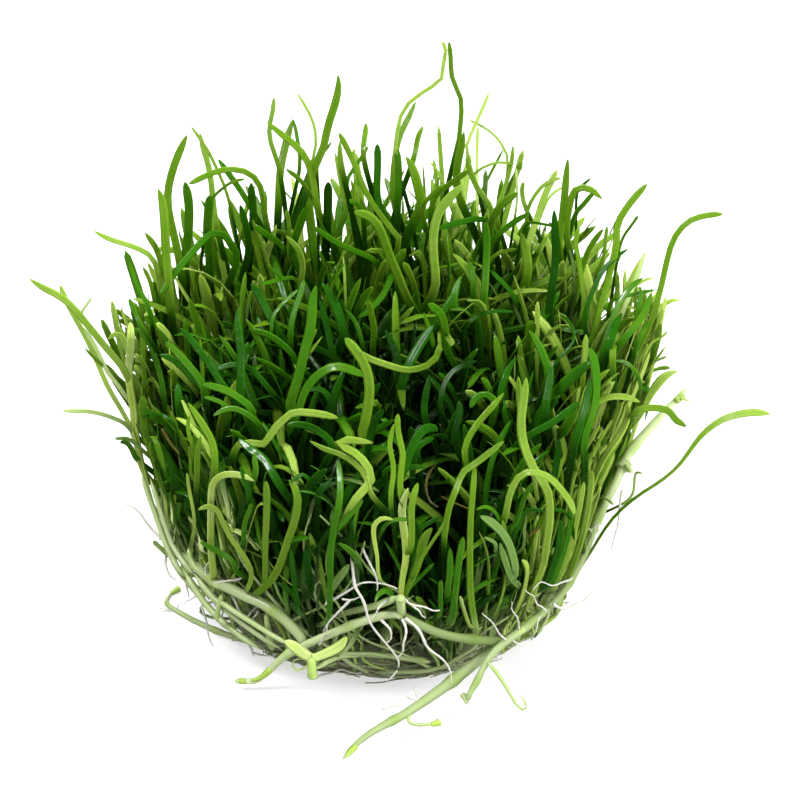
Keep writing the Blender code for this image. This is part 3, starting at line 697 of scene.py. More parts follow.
class LeafSettings(bpy.types.PropertyGroup):
    """Sizes and colours of the leaves."""

    per_crown: IntProperty(name="Leaves per crown", description="Leaves that each crown carries", default=52)
    seed: IntProperty(name="Seed", description="Start of the random draws", default=7)
    width: length("Width", 0.00138, "Width of a blade where it is widest")
    thickness: amount("Thickness", 0.22, "Thickness of a blade as a share of its width")
    spread: length("Spread", 0.0052, "How far from its crown a leaf may stand")
    withered: colour("Withered", "50491c", "Dead and withered leaves")
    waxy: colour("Waxy", "64823f", "Old leaves with a bloom")
    deep: colour("Deep", "072902", "The darkest leaves")
    dark: colour("Dark", "164a04", "Dark leaves")
    middle: colour("Middle", "316809", "Most leaves")
    bright: colour("Bright", "597c16", "Light leaves")
    lime: colour("Lime", "7b9934", "Lime leaves")
    young: colour("Young", "9bb550", "Young leaves")
    fresh: colour("Fresh", "b0c754", "The youngest leaves")
    pale: colour("Pale", "c9da90", "Feet of the leaves")


class StemSettings(bpy.types.PropertyGroup):
    """Colours of the runners, roots and mat."""

    runner: colour("Runner", "c9d6a8", "Runners in full light")
    bud: colour("Bud", "9cba4a", "Buds and sheaths on the runners")
    root: colour("Root", "c6c6ba", "Free white roots")
    mat_dark: colour("Mat, dark", "505939", "Deep parts of the root mat")
    mat_light: colour("Mat, light", "8c9470", "Fibres on the root mat")


class StageSettings(bpy.types.PropertyGroup):
    """Camera and light."""

    distance: length("Distance", 0.5, "From the camera to the point that it looks at")
    elevation: amount("Elevation", math.radians(25), "Camera above the horizon", subtype="ANGLE")
    lens: amount("Lens", 146.25, "Focal length in millimetres")
    aim: FloatVectorProperty(
        name="Aim",
        description="Point in the middle of the picture",
        subtype="XYZ",
        default=(0.00185, 0, 0.0367),
    )
    key: power("Key light", 12.4, "Power of the box above the front left")
    fill: power("Fill light", 13.0, "Power of the box on the right")
    back: power("Back light", 19.0, "Power of the box behind and above")
    room: amount("Room", 0.43, "Strength of the white room")


class ClumpSettings(bpy.types.PropertyGroup):
    """All settings of the clump."""

    leaves: PointerProperty(type=LeafSettings)
    stems: PointerProperty(type=StemSettings)
    stage: PointerProperty(type=StageSettings)


def settings():
    return bpy.context.scene.lilaeopsis


def random_draws(stream):
    """Each operator has a stream of its own, so that a change to one leaves the others as they are."""
    return np.random.default_rng(settings().leaves.seed + stream)


class Value:
    """A number that varies over a surface. Its operators add Math nodes."""

    def __init__(self, finish, socket):
        self.finish = finish
        self.socket = socket

    def math(self, operation, *others, clamp=False):
        terms = dict(enumerate((self, *others)))
        return self.finish.node("ShaderNodeMath", {"operation": operation, "use_clamp": clamp}, terms)

    def __add__(self, other):
        return self.math("ADD", other)

    def __mul__(self, other):
        return self.math("MULTIPLY", other)

    def __sub__(self, other):
        return self.math("SUBTRACT", other)

    def __rsub__(self, other):
        return (self * -1) + other

    __radd__ = __add__
    __rmul__ = __mul__

    def sine(self):
        return self.math("SINE")

    def clamped(self):
        return self.math("ADD", 0.0, clamp=True)

    def between(self, low, high):
        """0 below low, 1 above high, smooth in between."""
        values = {"Value": self, "From Min": low, "From Max": high}
        return self.finish.node("ShaderNodeMapRange", {"interpolation_type": "SMOOTHSTEP"}, values)


class Finish:
    """A material. node() adds any node, with its settings first and then its sockets' values or links."""

    def __init__(self, name):
        self.material = bpy.data.materials.new(name)
        self.material.use_nodes = True
        self.tree = self.material.node_tree
        self.tree.nodes.clear()

    def node(self, kind, options=None, values=None, output=0):
        node = self.tree.nodes.new(kind)
        for name, option in (options or {}).items():
            if name == "stops":
                self.set_stops(node.color_ramp, option)
            else:
                setattr(node, name, option)
        for name, value in (values or {}).items():
            if isinstance(value, Value):
                self.tree.links.new(value.socket, node.inputs[name])
            else:
                node.inputs[name].default_value = value
        return Value(self, node.outputs[output] if node.outputs else None)

    @staticmethod
    def set_stops(ramp, stops):
        while len(ramp.elements) < len(stops):
            ramp.elements.new(1.0)
        for element, (position, shade) in zip(ramp.elements, stops):
            element.position = position
            element.color = (*shade, 1)

    def attribute(self, name):
        return self.node("ShaderNodeAttribute", {"attribute_name": name}, output="Fac")

    def noise(self, scale, detail=3.0):
        place = self.node("ShaderNodeTexCoord", output="Object")
        values = {"Vector": place, "Scale": scale, "Detail": detail, "Roughness": 0.55}
        return self.node("ShaderNodeTexNoise", {}, values)

    def mix(self, share, first, second):
        """The two colours mixed. A Mix node's colours are its inputs 6 and 7, and its output 2."""
        values = {"Factor": share, 6: first, 7: second}
        return self.node("ShaderNodeMix", {"data_type": "RGBA"}, values, output=2)

    def bump(self, height, strength, distance):
        return self.node("ShaderNodeBump", {}, {"Height": height, "Strength": strength, "Distance": distance})

    def finish(self, shader):
        self.node("ShaderNodeOutputMaterial", {}, {"Surface": shader})
        return self.material

    def tissue(self, values, glow, share):
        """The material whose surface has these values, and which lets this share of the light through."""
        surface = self.node("ShaderNodeBsdfPrincipled", {}, values)
        through = self.node("ShaderNodeBsdfTranslucent", {}, {"Color": glow})
        return self.finish(self.node("ShaderNodeMixShader", {}, {"Fac": share, 1: surface, 2: through}))


def opaque(shade):
    return (*shade, 1)


def leaf_finish():
    """Tone picks the green, pale fades it to the foot's colour, and deep darkens it with painted shade where
    the leaf lies inside the mass. The blade's edges are a little lighter, as painted rim light. Veins run
    along the blade and faint partitions cross it. Light leaves let more light through."""
    leaves = settings().leaves
    finish = Finish("leaf_blade")
    tone = finish.attribute("tone")
    pale = finish.attribute("pale")
    across = finish.attribute("across")
    along = finish.attribute("along")
    deep = finish.attribute("deep")
    blotch = finish.noise(160.0)
    fine = finish.noise(1400.0, detail=2.0)
    stops = [
        (0.0, tuple(leaves.withered)),
        (0.015, tuple(leaves.waxy)),
        (0.075, tuple(leaves.waxy)),
        (0.12, tuple(leaves.deep)),
        (TONES["K"], tuple(leaves.deep)),
        (TONES["D"], tuple(leaves.dark)),
        (TONES["M"], tuple(leaves.middle)),
        (TONES["B"], tuple(leaves.bright)),
        (TONES["L"], tuple(leaves.lime)),
        (TONES["Y"], tuple(leaves.young)),
        (TONES["F"], tuple(leaves.fresh)),
        (1.0, tuple(leaves.pale)),
    ]
    # Painted rim light: edge marks the blade's edges, where the tone is raised a little. It also places
    # glints in the coat.
    edge = (across * across).between(0.4, 1.0)
    # Painted shade: deep pulls the tone down towards the deepest green inside the mass; edge adds painted rim
    # light.
    shade = tone - (tone - TONES["K"]).clamped() * deep * 0.5 + (blotch - 0.5) * 0.20 + edge * 0.06
    green = finish.node("ShaderNodeValToRGB", {"stops": stops}, {"Fac": shade.clamped()})
    green = finish.mix(pale.clamped(), green, opaque(leaves.pale))
    veins = (across * 11.0).sine() * 0.5 + 0.5
    partitions = (along * 260.0).sine().between(0.86, 1.0)
    midrib = 1 - (across * across).between(0.0, 0.05)
    dull = (veins * 0.30 + midrib * 0.16 + partitions * 0.08 - 0.09) * (1 - pale * 0.8)
    green = finish.mix(dull.clamped(), green, (0.01, 0.04, 0.001, 1))
    # Painted shade: deep mixes the green towards near black inside the mass.
    green = finish.mix(deep * 0.88, green, (0.0045, 0.018, 0.001, 1))
    glint = blotch.between(0.38, 0.54) * finish.noise(700.0).between(0.46, 0.60) * (0.45 + edge * 0.4)
    roughness = 0.20 + blotch * 0.10 + fine * 0.06
    height = veins * 0.5 + fine * 0.5 + finish.noise(500.0) * 1.5 - partitions * 0.5 - midrib * 0.8
    values = {
        "Base Color": green,
        "Roughness": roughness,
        "Coat Weight": (glint * (1 - deep)).clamped(),
        "Coat Roughness": 0.10,
        "Specular IOR Level": 0.25,
        "Normal": finish.bump(height, 0.36, 0.00012),
    }
    share = ((0.12 + tone * 0.28) * (1 - pale * 0.7) * (1 - deep)).clamped()
    return finish.tissue(values, (0.26, 0.50, 0.03, 1), share)


def runner_finish():
    """Pale stem: tone goes from the stem's colour to the bud's, with faint streaks along it, and the shade
    attribute darkens it towards dark green as painted shade.
    """
    stems = settings().stems
    finish = Finish("runner_skin")
    tone = finish.attribute("tone")
    across = finish.attribute("across")
    blotch = finish.noise(220.0)
    fine = finish.noise(1500.0)
    shade = finish.mix((tone + (blotch - 0.5) * 0.5).clamped(), opaque(stems.runner), opaque(stems.bud))
    shade = finish.mix((blotch.between(0.5, 0.8) * 0.35).clamped(), shade, (0.30, 0.42, 0.12, 1))
    # Painted shade: the shade attribute mixes the stem towards dark green.
    shade = finish.mix(finish.attribute("shade"), shade, (0.08, 0.14, 0.02, 1))
    streaks = (across * 14.0).sine() * 0.5 + 0.5
    values = {
        "Base Color": shade,
        "Roughness": 0.34 + fine * 0.15,
        "Coat Weight": 0.2,
        "Coat Roughness": 0.2,
        "Normal": finish.bump(streaks * 0.4 + fine * 0.6, 0.3, 0.00015),
    }
    return finish.tissue(values, (0.40, 0.50, 0.16, 1), 0.25)


def root_finish():
    """White root, a little glassy, with brown specks."""
    stems = settings().stems
    finish = Finish("root_skin")
    blotch = finish.noise(420.0)
    shade = finish.mix(blotch.between(0.55, 0.85) * 0.5, opaque(stems.root), (0.36, 0.34, 0.24, 1))
    values = {
        "Base Color": shade,
        "Roughness": 0.42,
        "Normal": finish.bump(finish.noise(2600.0), 0.3, 0.0001),
    }
    return finish.tissue(values, (0.45, 0.45, 0.41, 1), 0.3)


def mat_finish():
    """Matted roots: the tone goes from the dark depth to the light fibres."""
    stems = settings().stems
    finish = Finish("matted_roots")
    tone = finish.attribute("tone")
    blotch = finish.noise(260.0, detail=5.0)
    fine = finish.noise(1800.0, detail=5.0)
    share = (tone + (blotch - 0.5) * 0.9).clamped()
    shade = finish.mix(share, opaque(stems.mat_dark), opaque(stems.mat_light))
    shade = finish.mix(fine.between(0.5, 0.75) * 0.4, shade, (0.12, 0.15, 0.06, 1))
    values = {
        "Base Color": shade,
        "Roughness": 0.7,
        "Normal": finish.bump(fine + blotch, 0.8, 0.0004),
    }
    return finish.finish(finish.node("ShaderNodeBsdfPrincipled", {}, values))


FINISHES = {
    "leaf_blade": leaf_finish,
    "runner_skin": runner_finish,
    "root_skin": root_finish,
    "matted_roots": mat_finish,
}


def finish_named(name):
    return bpy.data.materials.get(name) or FINISHES[name]()


def smooth_step(values, low, high):
    """0 below low, 1 above high, smooth in between."""
    share = np.clip((values - low) / (high - low), 0, 1)
    return share * share * (3 - 2 * share)


def unit(vectors):
    return vectors / np.maximum(np.linalg.norm(vectors, axis=-1, keepdims=True), 1e-12)


# Sections of a strap, across and thick, of half width 1 and half thickness 1: from one edge over the face to
# the other edge, and back under the rounded back. The first has a channelled face, the plain one has fewer
# corners.
STRAP_SECTION = np.array(
    [(1, 0), (0.6, 0.45), (0, 0.1), (-0.6, 0.45), (-1, 0), (-0.55, -0.75), (0, -1), (0.55, -0.75)]
)
PLAIN_STRAP_SECTION = np.array([(1, 0), (0.45, 0.35), (-0.45, 0.35), (-1, 0), (-0.45, -0.9), (0.45, -0.9)])


def ring_points(radii, angles, heights):
    """Points at these radii, angles and heights round the Z axis."""
    return np.stack([radii * np.cos(angles), radii * np.sin(angles), heights], axis=-1)


def ring_section(count):
    """The corners of a section of half width 1 and half thickness 1, evenly round an ellipse."""
    angles = 2 * np.pi * np.arange(count) / count
    return np.stack([np.cos(angles), np.sin(angles)], axis=1)


def bands(number):
    """Quads between each row of point numbers and the next, where each row closes to a ring."""
    turned = np.roll(number, -1, axis=-1)
    corners = (number[..., :-1, :], turned[..., :-1, :], turned[..., 1:, :], number[..., 1:, :])
    return np.stack(corners, axis=-1).reshape(-1, 4)


def strands(paths, wide_way, widths, thicknesses, section):
    """Strands, each a section carried along its path.

    paths is (strands, samples, 3) and wide_way a direction for each sample. The section's first axis is the
    part of wide_way square to the path, its second is square to both. A point is the path's point plus half
    the width times the first and half the thickness times the second. The ends are closed by flat faces."""
    along = unit(np.gradient(paths, axis=1))
    wide = unit(wide_way - along * (wide_way * along).sum(-1, keepdims=True))
    thick = np.cross(along, wide)
    half_width = (widths / 2)[..., None, None] * section[:, 0, None]
    half_thickness = (thicknesses / 2)[..., None, None] * section[:, 1, None]
    points = paths[:, :, None] + half_width * wide[:, :, None] + half_thickness * thick[:, :, None]
    number = np.arange(points.size // 3).reshape(points.shape[:3])
    caps = np.concatenate([number[:, 0, ::-1], number[:, -1]])
    return points.reshape(-1, 3), bands(number).tolist() + caps.tolist()


def add_piece(name, points, faces, attributes, finish):
    """A smooth mesh object with its point attributes and its finish. It rides on the only body."""
    mesh = bpy.data.meshes.new(name)
    mesh.from_pydata(points, [], faces)
    for key, values in attributes.items():
        layer = mesh.attributes.new(key, "FLOAT", "POINT")
        layer.data.foreach_set("value", np.ascontiguousarray(values, dtype=np.float32).ravel())
    mesh.shade_smooth()
    mesh.materials.append(finish_named(finish))
    mesh.update()
    piece = bpy.data.objects.new(name, mesh)
    bpy.context.scene.collection.objects.link(piece)
    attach(piece, "root")
    return piece


def widening(height):
    """How many times wider the mass is at this height than at the mat. It nears its shoulder ever slower."""
    rise = np.maximum(height - CROWN_FOOT, 0)
    reach = MASS_TOP_RADIUS - (MASS_TOP_RADIUS - MASS_FOOT_RADIUS) * np.exp(-rise / MASS_WIDENING_HEIGHT)
    return reach / MASS_FOOT_RADIUS


def column_points(columns, heights):
    """Points of the columns at these heights. A column is named by where it cuts the mat, and all of them
    follow the widening and a slow sway that grows with the square of the height."""
    x, y = columns[..., 0], columns[..., 1]
    wide = widening(heights)
    lean = SWAY * (heights / CANOPY_HEIGHT) ** 2
    x_wave = np.sin(2 * np.pi * y / SWAY_LENGTHS[0])
    y_wave = np.sin(2 * np.pi * x / SWAY_LENGTHS[1] + 1)
    return np.stack([x * wide + lean * x_wave, y * wide + lean * y_wave, heights], axis=-1)


def canopy_heights(columns):
    """The height of the tips over each column: a low dome that rises to the back and dips over the hollow."""
    share_out = np.linalg.norm(columns, axis=-1) / MASS_FOOT_RADIUS
    heights = CANOPY_HEIGHT + CANOPY_DOME * (1 - share_out**2)
    heights = heights + CANOPY_RISE_TO_BACK * columns[..., 1] / MASS_FOOT_RADIUS
    gap = np.linalg.norm(columns - HOLLOW_CENTRE, axis=-1)
    return heights * (1 - 0.5 * (1 - smooth_step(gap, HOLLOW_RADIUS * 0.5, HOLLOW_RADIUS * 1.3)))


def depths_in_mass(points):
    """How deep points lie in the mass, which sets the painted shade of the leaves there: 0 at its side and
    its canopy, 1 well inside.
    """
    radii = np.linalg.norm(points[..., :2], axis=-1)
    inside_side = MASS_FOOT_RADIUS * widening(points[..., 2]) - radii
    columns = points[..., :2] / widening(points[..., 2])[..., None]
    below_canopy = canopy_heights(columns) - points[..., 2]
    depth = smooth_step(np.minimum(inside_side / DARK_BEHIND_SIDE, below_canopy / DARK_BELOW_CANOPY), 0.04, 1)
    depth = depth * (1 - 0.35 * smooth_step(np.abs(points[..., 0]), 0.012, 0.034))
    depth = depth * (1 - 0.60 * smooth_step(points[..., 1], -0.004, 0.018))
    return depth * (0.65 + 0.35 * smooth_step(points[..., 2], 0.008, 0.020))


def tip_shares(count):
    """Shares of a leaf's length from foot to tip, closer together towards the tip."""
    return 1 - (1 - np.linspace(0, 1, count)) ** 1.5


def blade_profile(shares, lengths, widths, feet, chance):
    """Width along a leaf: it widens smoothly from its foot and ends in a long tip that rounds off at its very
    end. feet gives, for each leaf, the share of the width that the foot has and where the widening starts."""
    foot_shares, starts = np.broadcast_to(feet, (len(widths), 2)).T[..., None]
    body = foot_shares + (1 - foot_shares) * smooth_step(shares, starts, np.minimum(starts + WIDENING, 0.95))
    tip_length = np.minimum(chance.uniform(1.2, 3.8, len(widths)) * widths / lengths, 0.45)
    into_tip = np.clip((shares - 1 + tip_length[:, None]) / tip_length[:, None], 0, 1)
    return widths[:, None] * body * np.maximum(1 - into_tip**1.9, 0.03) ** 0.6


def path_lengths(paths):
    return np.linalg.norm(np.diff(paths, axis=1), axis=2).sum(1)


def add_leaves(name, leaves, section, chance, feet=(0.5, 0.05), shaded=0):
    """Leaves along paths from foot to tip, with their tone, their paleness and their place on the blade.
    Painted shade darkens them by their depth in the mass, and where they are shaded they are as dark as
    leaves deep in the mass."""
    paths, wide_way, widths, tones, pale = leaves
    shares = tip_shares(paths.shape[1])
    profile = blade_profile(shares, path_lengths(paths), widths, feet, chance)
    ratio = settings().leaves.thickness * (1 + 1.6 * (1 - smooth_step(shares, 0.0, 0.5)))
    points, faces = strands(paths, wide_way, profile, profile * ratio, section)
    shape = (*paths.shape[:2], len(section))
    attributes = {
        # Painted shade: how deep in the mass each point lies, or how shaded it is.
        "deep": np.broadcast_to(np.maximum(depths_in_mass(paths), shaded)[:, :, None], shape),
        "tone": np.broadcast_to(tones[:, :, None], shape),
        "pale": np.broadcast_to(pale[:, :, None], shape),
        "along": np.broadcast_to(shares[None, :, None], shape),
        "across": np.broadcast_to(section[None, None, :, 0], shape),
    }
    return add_piece(name, points, faces, attributes, "leaf_blade")


def crown_centres():
    """Centre of each crown on the mat, ring by ring."""
    centres = []
    for ring, count in enumerate(RING_COUNTS):
        angles = 2 * np.pi * (np.arange(count) + 0.5 * (ring % 2)) / count
        centres.append(ring * RING_SPACING * np.stack([np.cos(angles), np.sin(angles)], axis=1))
    return np.concatenate(centres)


def curled(paths, shares, lengths, lean, bend, starts, way):
    """Paths that bend over. From its start on, the angle from the upright grows from lean by bend as a power
    of the way. The offset sums the angle's sine sideways, and its cosine less one upwards."""
    share_bent = np.clip((shares - starts[:, None]) / (1 - starts[:, None]), 0, 1)
    angle = lean[:, None] + bend[:, None] * share_bent**1.4
    steps = np.diff(shares, prepend=0.0) * lengths[:, None]
    out = np.cumsum(np.sin(angle) * steps, axis=1)
    up = np.cumsum((np.cos(angle) - 1) * steps, axis=1)
    sideways = np.stack([np.cos(way), np.sin(way)], axis=-1)
    return paths + np.concatenate([out[..., None] * sideways[:, None], up[..., None]], axis=-1)


def waved(paths, shares, way, chance):
    """Paths with a slow wave across the way that they bend, which grows towards the tip."""
    count = len(paths)
    across = np.stack([-np.sin(way), np.cos(way), np.zeros(count)], axis=1)
    turns = shares * chance.uniform(0.5, 1.4, count)[:, None] + chance.random(count)[:, None]
    wave = chance.uniform(0.0002, 0.0011, count)[:, None] * shares * np.sin(2 * np.pi * turns)
    return paths + wave[..., None] * across[:, None]


def kept_in(paths):
    """Paths drawn in where they stray from the clump: past its side, a radius grows only slowly."""
    radii = np.linalg.norm(paths[..., :2], axis=-1)
    stray = STRAY[0] + (STRAY[1] - STRAY[0]) * smooth_step(paths[..., 2], *STRAY_HEIGHTS)
    bearings = np.arctan2(paths[..., 1], paths[..., 0])
    side = side_reach(bearings, paths[..., 2]) + stray
    drawn_in = np.minimum(radii, side) + STRAY_SHARE * np.maximum(radii - side, 0)
    paths = paths.copy()
    paths[..., :2] *= (drawn_in / np.maximum(radii, 1e-9))[..., None]
    return paths


def flat_turned(bearings, shares, spread, twist, chance):
    """The way that a blade is wide: square to its bearing, give or take, and twisting up its length."""
    count = len(bearings)
    turn = bearings + np.pi / 2 + np.radians(chance.normal(0, spread, count))
    turn = turn[:, None] + np.radians(chance.uniform(-twist, twist, count))[:, None] * shares
    return ring_points(1, turn, np.zeros_like(turn))


def chosen_tones(count, shares_by_letter, chance):
    tones = [TONES[letter] for letter in shares_by_letter]
    return chance.choice(tones, count, p=list(shares_by_letter.values()))


def tones_with_painted_light_and_shade(tones, fresh, shares):
    """The tones moved by fresh, which carries painted light and painted shade, all but the withered and waxy
    ones, and rising along each leaf.
    """
    tones = np.where(tones > TONES["G"], np.clip(tones + fresh, TONES["K"], TONES["Y"]), tones)
    return tones[:, None] + TONE_RISE * (shares - 0.5)


def seeded_leaves(centres, chance):
    """Paths, width directions, widths, tones and paleness of the leaves round these crowns.

    A leaf starts at a random place round its crown, follows its column up to a random share of the canopy,
    and bends over on the way."""
    leaves = settings().leaves
    count = len(centres) * leaves.per_crown
    angles = chance.uniform(0, 2 * np.pi, count)
    reach = leaves.spread * np.sqrt(chance.uniform(0.02, 1, count))
    columns = np.repeat(centres, leaves.per_crown, axis=0)
    columns = columns + reach[:, None] * np.stack([np.cos(angles), np.sin(angles)], axis=1)
    far = np.linalg.norm(columns, axis=1)
    columns *= np.minimum(1, MOST_FOOT_RADIUS / far)[:, None]
    out_of_dark = smooth_step(np.linalg.norm(columns - DARK_CENTRE, axis=1), DARK_RADII[0], DARK_RADII[1])
    kept = chance.random(count) < 0.25 + 0.75 * out_of_dark
    columns, out_of_dark = columns[kept], out_of_dark[kept]
    count = len(columns)
    radii = np.linalg.norm(columns, axis=1)
    bearings = np.arctan2(columns[:, 1], columns[:, 0])
    rim = smooth_step(radii, 0.018, MOST_FOOT_RADIUS)
    full = chance.random(count) < 0.72 - 0.30 * rim
    tall = np.where(full, chance.uniform(*FULL_HEIGHTS, count), chance.uniform(*SHORT_HEIGHTS, count))
    heights = canopy_heights(columns) * tall
    shares = tip_shares(SEEDED_SAMPLES)
    lengths = heights - LEAF_END
    paths = column_points(columns[:, None], LEAF_END + lengths[:, None] * shares)
    kind = chance.random(count)
    bend = np.where(kind < 0.84, chance.uniform(*BENT, count), chance.uniform(*HOOKED, count))
    bend = np.radians(np.where(kind < 0.36, chance.uniform(*STRAIGHT, count), bend))
    way = chance.uniform(0, 2 * np.pi, count)
    outwards = np.maximum(np.cos(way - bearings), 0)
    bend = bend * (1 - 0.5 * rim * outwards)
    lean = np.abs(chance.normal(0, MASS_LEAN, count)) * (1 - rim * outwards)
    paths = curled(paths, shares, lengths, lean, bend, chance.uniform(0.3, 0.8, count), way)
    paths = kept_in(waved(paths, shares, way, chance))
    wide_way = flat_turned(bearings, shares, 45, 70, chance)
    widths = leaves.width * chance.uniform(*MASS_WIDTHS, count)
    tones = chosen_tones(count, MASS_TONES, chance)
    # Lighter where leaves are tall, as painted light, and on both sides; darker at the front, as painted
    # shade.
    front = 1 - smooth_step(np.linalg.norm(columns - DARK_CENTRE, axis=1), 0.012, 0.026)
    fresh = 0.24 * smooth_step(heights, 0.042, 0.062) - 0.10 * (1 - out_of_dark) - 0.14 * front
    fresh = fresh + 0.46 * smooth_step(columns[:, 0], 0.010, 0.024)
    fresh = fresh + 0.16 * smooth_step(-columns[:, 0], 0.012, 0.024)
    pale = 0.45 * (1 - smooth_step(paths[..., 2], 0.008, 0.018))
    return paths, wide_way, widths, tones_with_painted_light_and_shade(tones, fresh, shares), pale


def side_points(bearings, heights, proud):
    """Points on the side of the mass at these bearings and heights, or this much outside it."""
    return ring_points(MASS_FOOT_RADIUS * widening(heights) + proud, bearings, heights)


def side_reach(bearings, heights):
    """How far out the side of the clump is, with its bulge."""
    return MASS_FOOT_RADIUS * widening(heights) + side_proud(bearings, heights)


def side_runners(chance):
    """Bearings and heights of thin runners that creep up the side of the mass, each from the mat's edge to a
    height of its own, drifting sideways in two waves."""
    count = SIDE_RUNNERS
    share = np.linspace(0, 1, SIDE_SAMPLES)
    starts = 2 * np.pi * (np.arange(count) + chance.uniform(-0.4, 0.4, count)) / count
    bearings = starts[:, None] + chance.uniform(-0.9, 0.9, count)[:, None] * share**0.8
    for reach, turns in ((0.06, 1.1), (0.02, 2.7)):
        phase = share * turns * chance.uniform(0.7, 1.3, count)[:, None] + chance.random(count)[:, None]
        bearings = bearings + reach * np.sin(2 * np.pi * phase)
    tops = chance.uniform(*SIDE_TOPS, count)[:, None]
    heights = SIDE_FOOT + (tops - SIDE_FOOT) * share**1.3
    return bearings, heights


def side_proud(bearings, heights):
    """How far outside the mass its side runners lie: most low on the left, where the clump bulges."""
    bulge = np.maximum(np.cos(bearings - BULGE_BEARING), 0) ** 8
    low = 1 - smooth_step(heights, 0.010, 0.028)
    return SIDE_PROUD + BULGE * bulge * low


def side_leaves(runner_bearings, runner_heights, chance):
    """Leaves that stand at the nodes of the side runners, a few at each: long ones that hook over near their
    tips, and short ones that curl from low down. They bend along the side, and hardly away from it."""
    leaves = settings().leaves
    nodes = np.arange(2, SIDE_SAMPLES, SIDE_NODE_STEP)
    bearings = np.repeat(runner_bearings[:, nodes].ravel(), SIDE_LEAVES_PER_NODE)
    feet = np.repeat(runner_heights[:, nodes].ravel(), SIDE_LEAVES_PER_NODE)
    count = len(bearings)
    bearings = bearings + chance.normal(0, 0.03, count)
    front = np.abs(np.angle(np.exp(1j * (bearings + np.pi / 2))))
    kept = chance.random(count) < np.where(front < DARK_FRONT, 0.7, 1.0)
    bearings, feet, front = bearings[kept], feet[kept], front[kept]
    count = len(bearings)
    shares = tip_shares(SEEDED_SAMPLES)
    long = chance.random(count) < np.where(front < DARK_FRONT, 0.0, 0.7)
    lengths = np.where(long, chance.uniform(*LONG_LENGTHS, count), chance.uniform(*SHORT_LENGTHS, count))
    lengths = lengths * np.where(front < DARK_FRONT, 1.4, 1.0)
    right = smooth_step(np.cos(bearings), 0.2, 0.8)
    lengths = np.where(long, np.minimum(lengths * (1 + 0.7 * right), 0.054 - feet), lengths)
    base = side_points(bearings, feet, side_proud(bearings, feet) - 0.0006)
    heights = feet[:, None] + lengths[:, None] * shares
    paths = side_points(bearings[:, None], heights, side_proud(bearings[:, None], heights))
    paths[:, 0] = base
    starts = np.where(long, chance.uniform(*LONG_STARTS, count), chance.uniform(*SHORT_STARTS, count))
    bent = chance.random(count) < 0.6
    bend = np.where(bent, chance.uniform(*SIDE_BENT, count), chance.uniform(*SIDE_HOOKED, count))
    bend = np.radians(bend) * (1 - 0.5 * right)
    lean = np.abs(chance.normal(0, SIDE_LEAN, count))
    way = bearings + np.where(chance.random(count) < 0.5, 1, -1) * np.pi / 2 + chance.normal(0, 0.35, count)
    paths = curled(paths, shares, lengths, lean, bend, starts, way)
    paths = kept_in(waved(paths, shares, way, chance))
    paths[..., 2] = np.maximum(paths[..., 2], leaves.width)
    wide_way = flat_turned(bearings, shares, 50, 70, chance)
    widths = leaves.width * chance.uniform(*SIDE_WIDTHS, count) * (1 - 0.25 * right)
    tones = chosen_tones(count, SIDE_TONES, chance)
    # Painted shade darkens the leaves at the front; those on the right and on the left are made lighter.
    fresh = 0.45 * np.maximum(np.cos(bearings), 0) - 0.30 * (front < DARK_FRONT)
    fresh = fresh + 0.12 * np.maximum(-np.cos(bearings), 0)
    left = np.maximum(np.cos(bearings - PALE_BEARING), 0) ** 3
    fade = (chance.uniform(0.1, 0.6, count) * np.where(front < DARK_FRONT, 0.2, 1 + 0.6 * left))[:, None]
    pale = fade * (1 - smooth_step(shares * lengths[:, None], 0.001, 0.011))
    return paths, wide_way, widths, tones_with_painted_light_and_shade(tones, fresh, shares), pale


def camera_axes():
    """The camera's place and its right, up and forward directions."""
    stage = settings().stage
    forward = np.array([0, math.cos(stage.elevation), -math.sin(stage.elevation)])
    up = np.array([0, math.sin(stage.elevation), math.cos(stage.elevation)])
    return np.array(stage.aim) - forward * stage.distance, np.array([1.0, 0, 0]), up, forward


def focal_pixels():
    """The camera's focal length in pixels of the picture."""
    return settings().stage.lens / SENSOR_WIDTH * PICTURE_SIZE


def pixel_rays(pixels):
    """Where the camera stands, and the direction from it through each pixel."""
    eye, right, up, forward = camera_axes()
    offset = (np.asarray(pixels, dtype=float)[..., :2] - PICTURE_SIZE / 2) / focal_pixels()
    return eye, forward + right * offset[..., :1] - up * offset[..., 1:2]


def pixel_points(pixels, depths):
    """The points seen at these pixels that lie at these depths along Y."""
    eye, rays = pixel_rays(pixels)
    return eye + rays * ((depths - eye[1]) / rays[..., 1])[..., None]


def front_depths(pixels):
    """The depth along Y at which each pixel's ray meets the mass: its side, or its canopy where that comes
    first. The side is found by going out to the circle at the height reached, a few times over."""
    depths = np.zeros(len(pixels))
    for _ in range(8):
        points = pixel_points(pixels, depths)
        radii = MASS_FOOT_RADIUS * widening(points[:, 2]) + STANDS_OUT
        depths = -np.sqrt(np.maximum(radii**2 - points[:, 0] ** 2, 0))
    eye, rays = pixel_rays(pixels)
    slope = CANOPY_RISE_TO_BACK / MASS_FOOT_RADIUS
    top = CANOPY_HEIGHT + slope * eye[1] - eye[2]
    canopy = eye[1] + top / (rays[:, 2] - slope * rays[:, 1]) * rays[:, 1]
    return np.minimum(np.maximum(depths, canopy), MOST_DEPTH)


def read_route(words):
    """Pixels, from foot to tip, and the third number of each where it has one."""
    return np.array([[float(number) for number in word.split(",")] for word in words])[::-1]


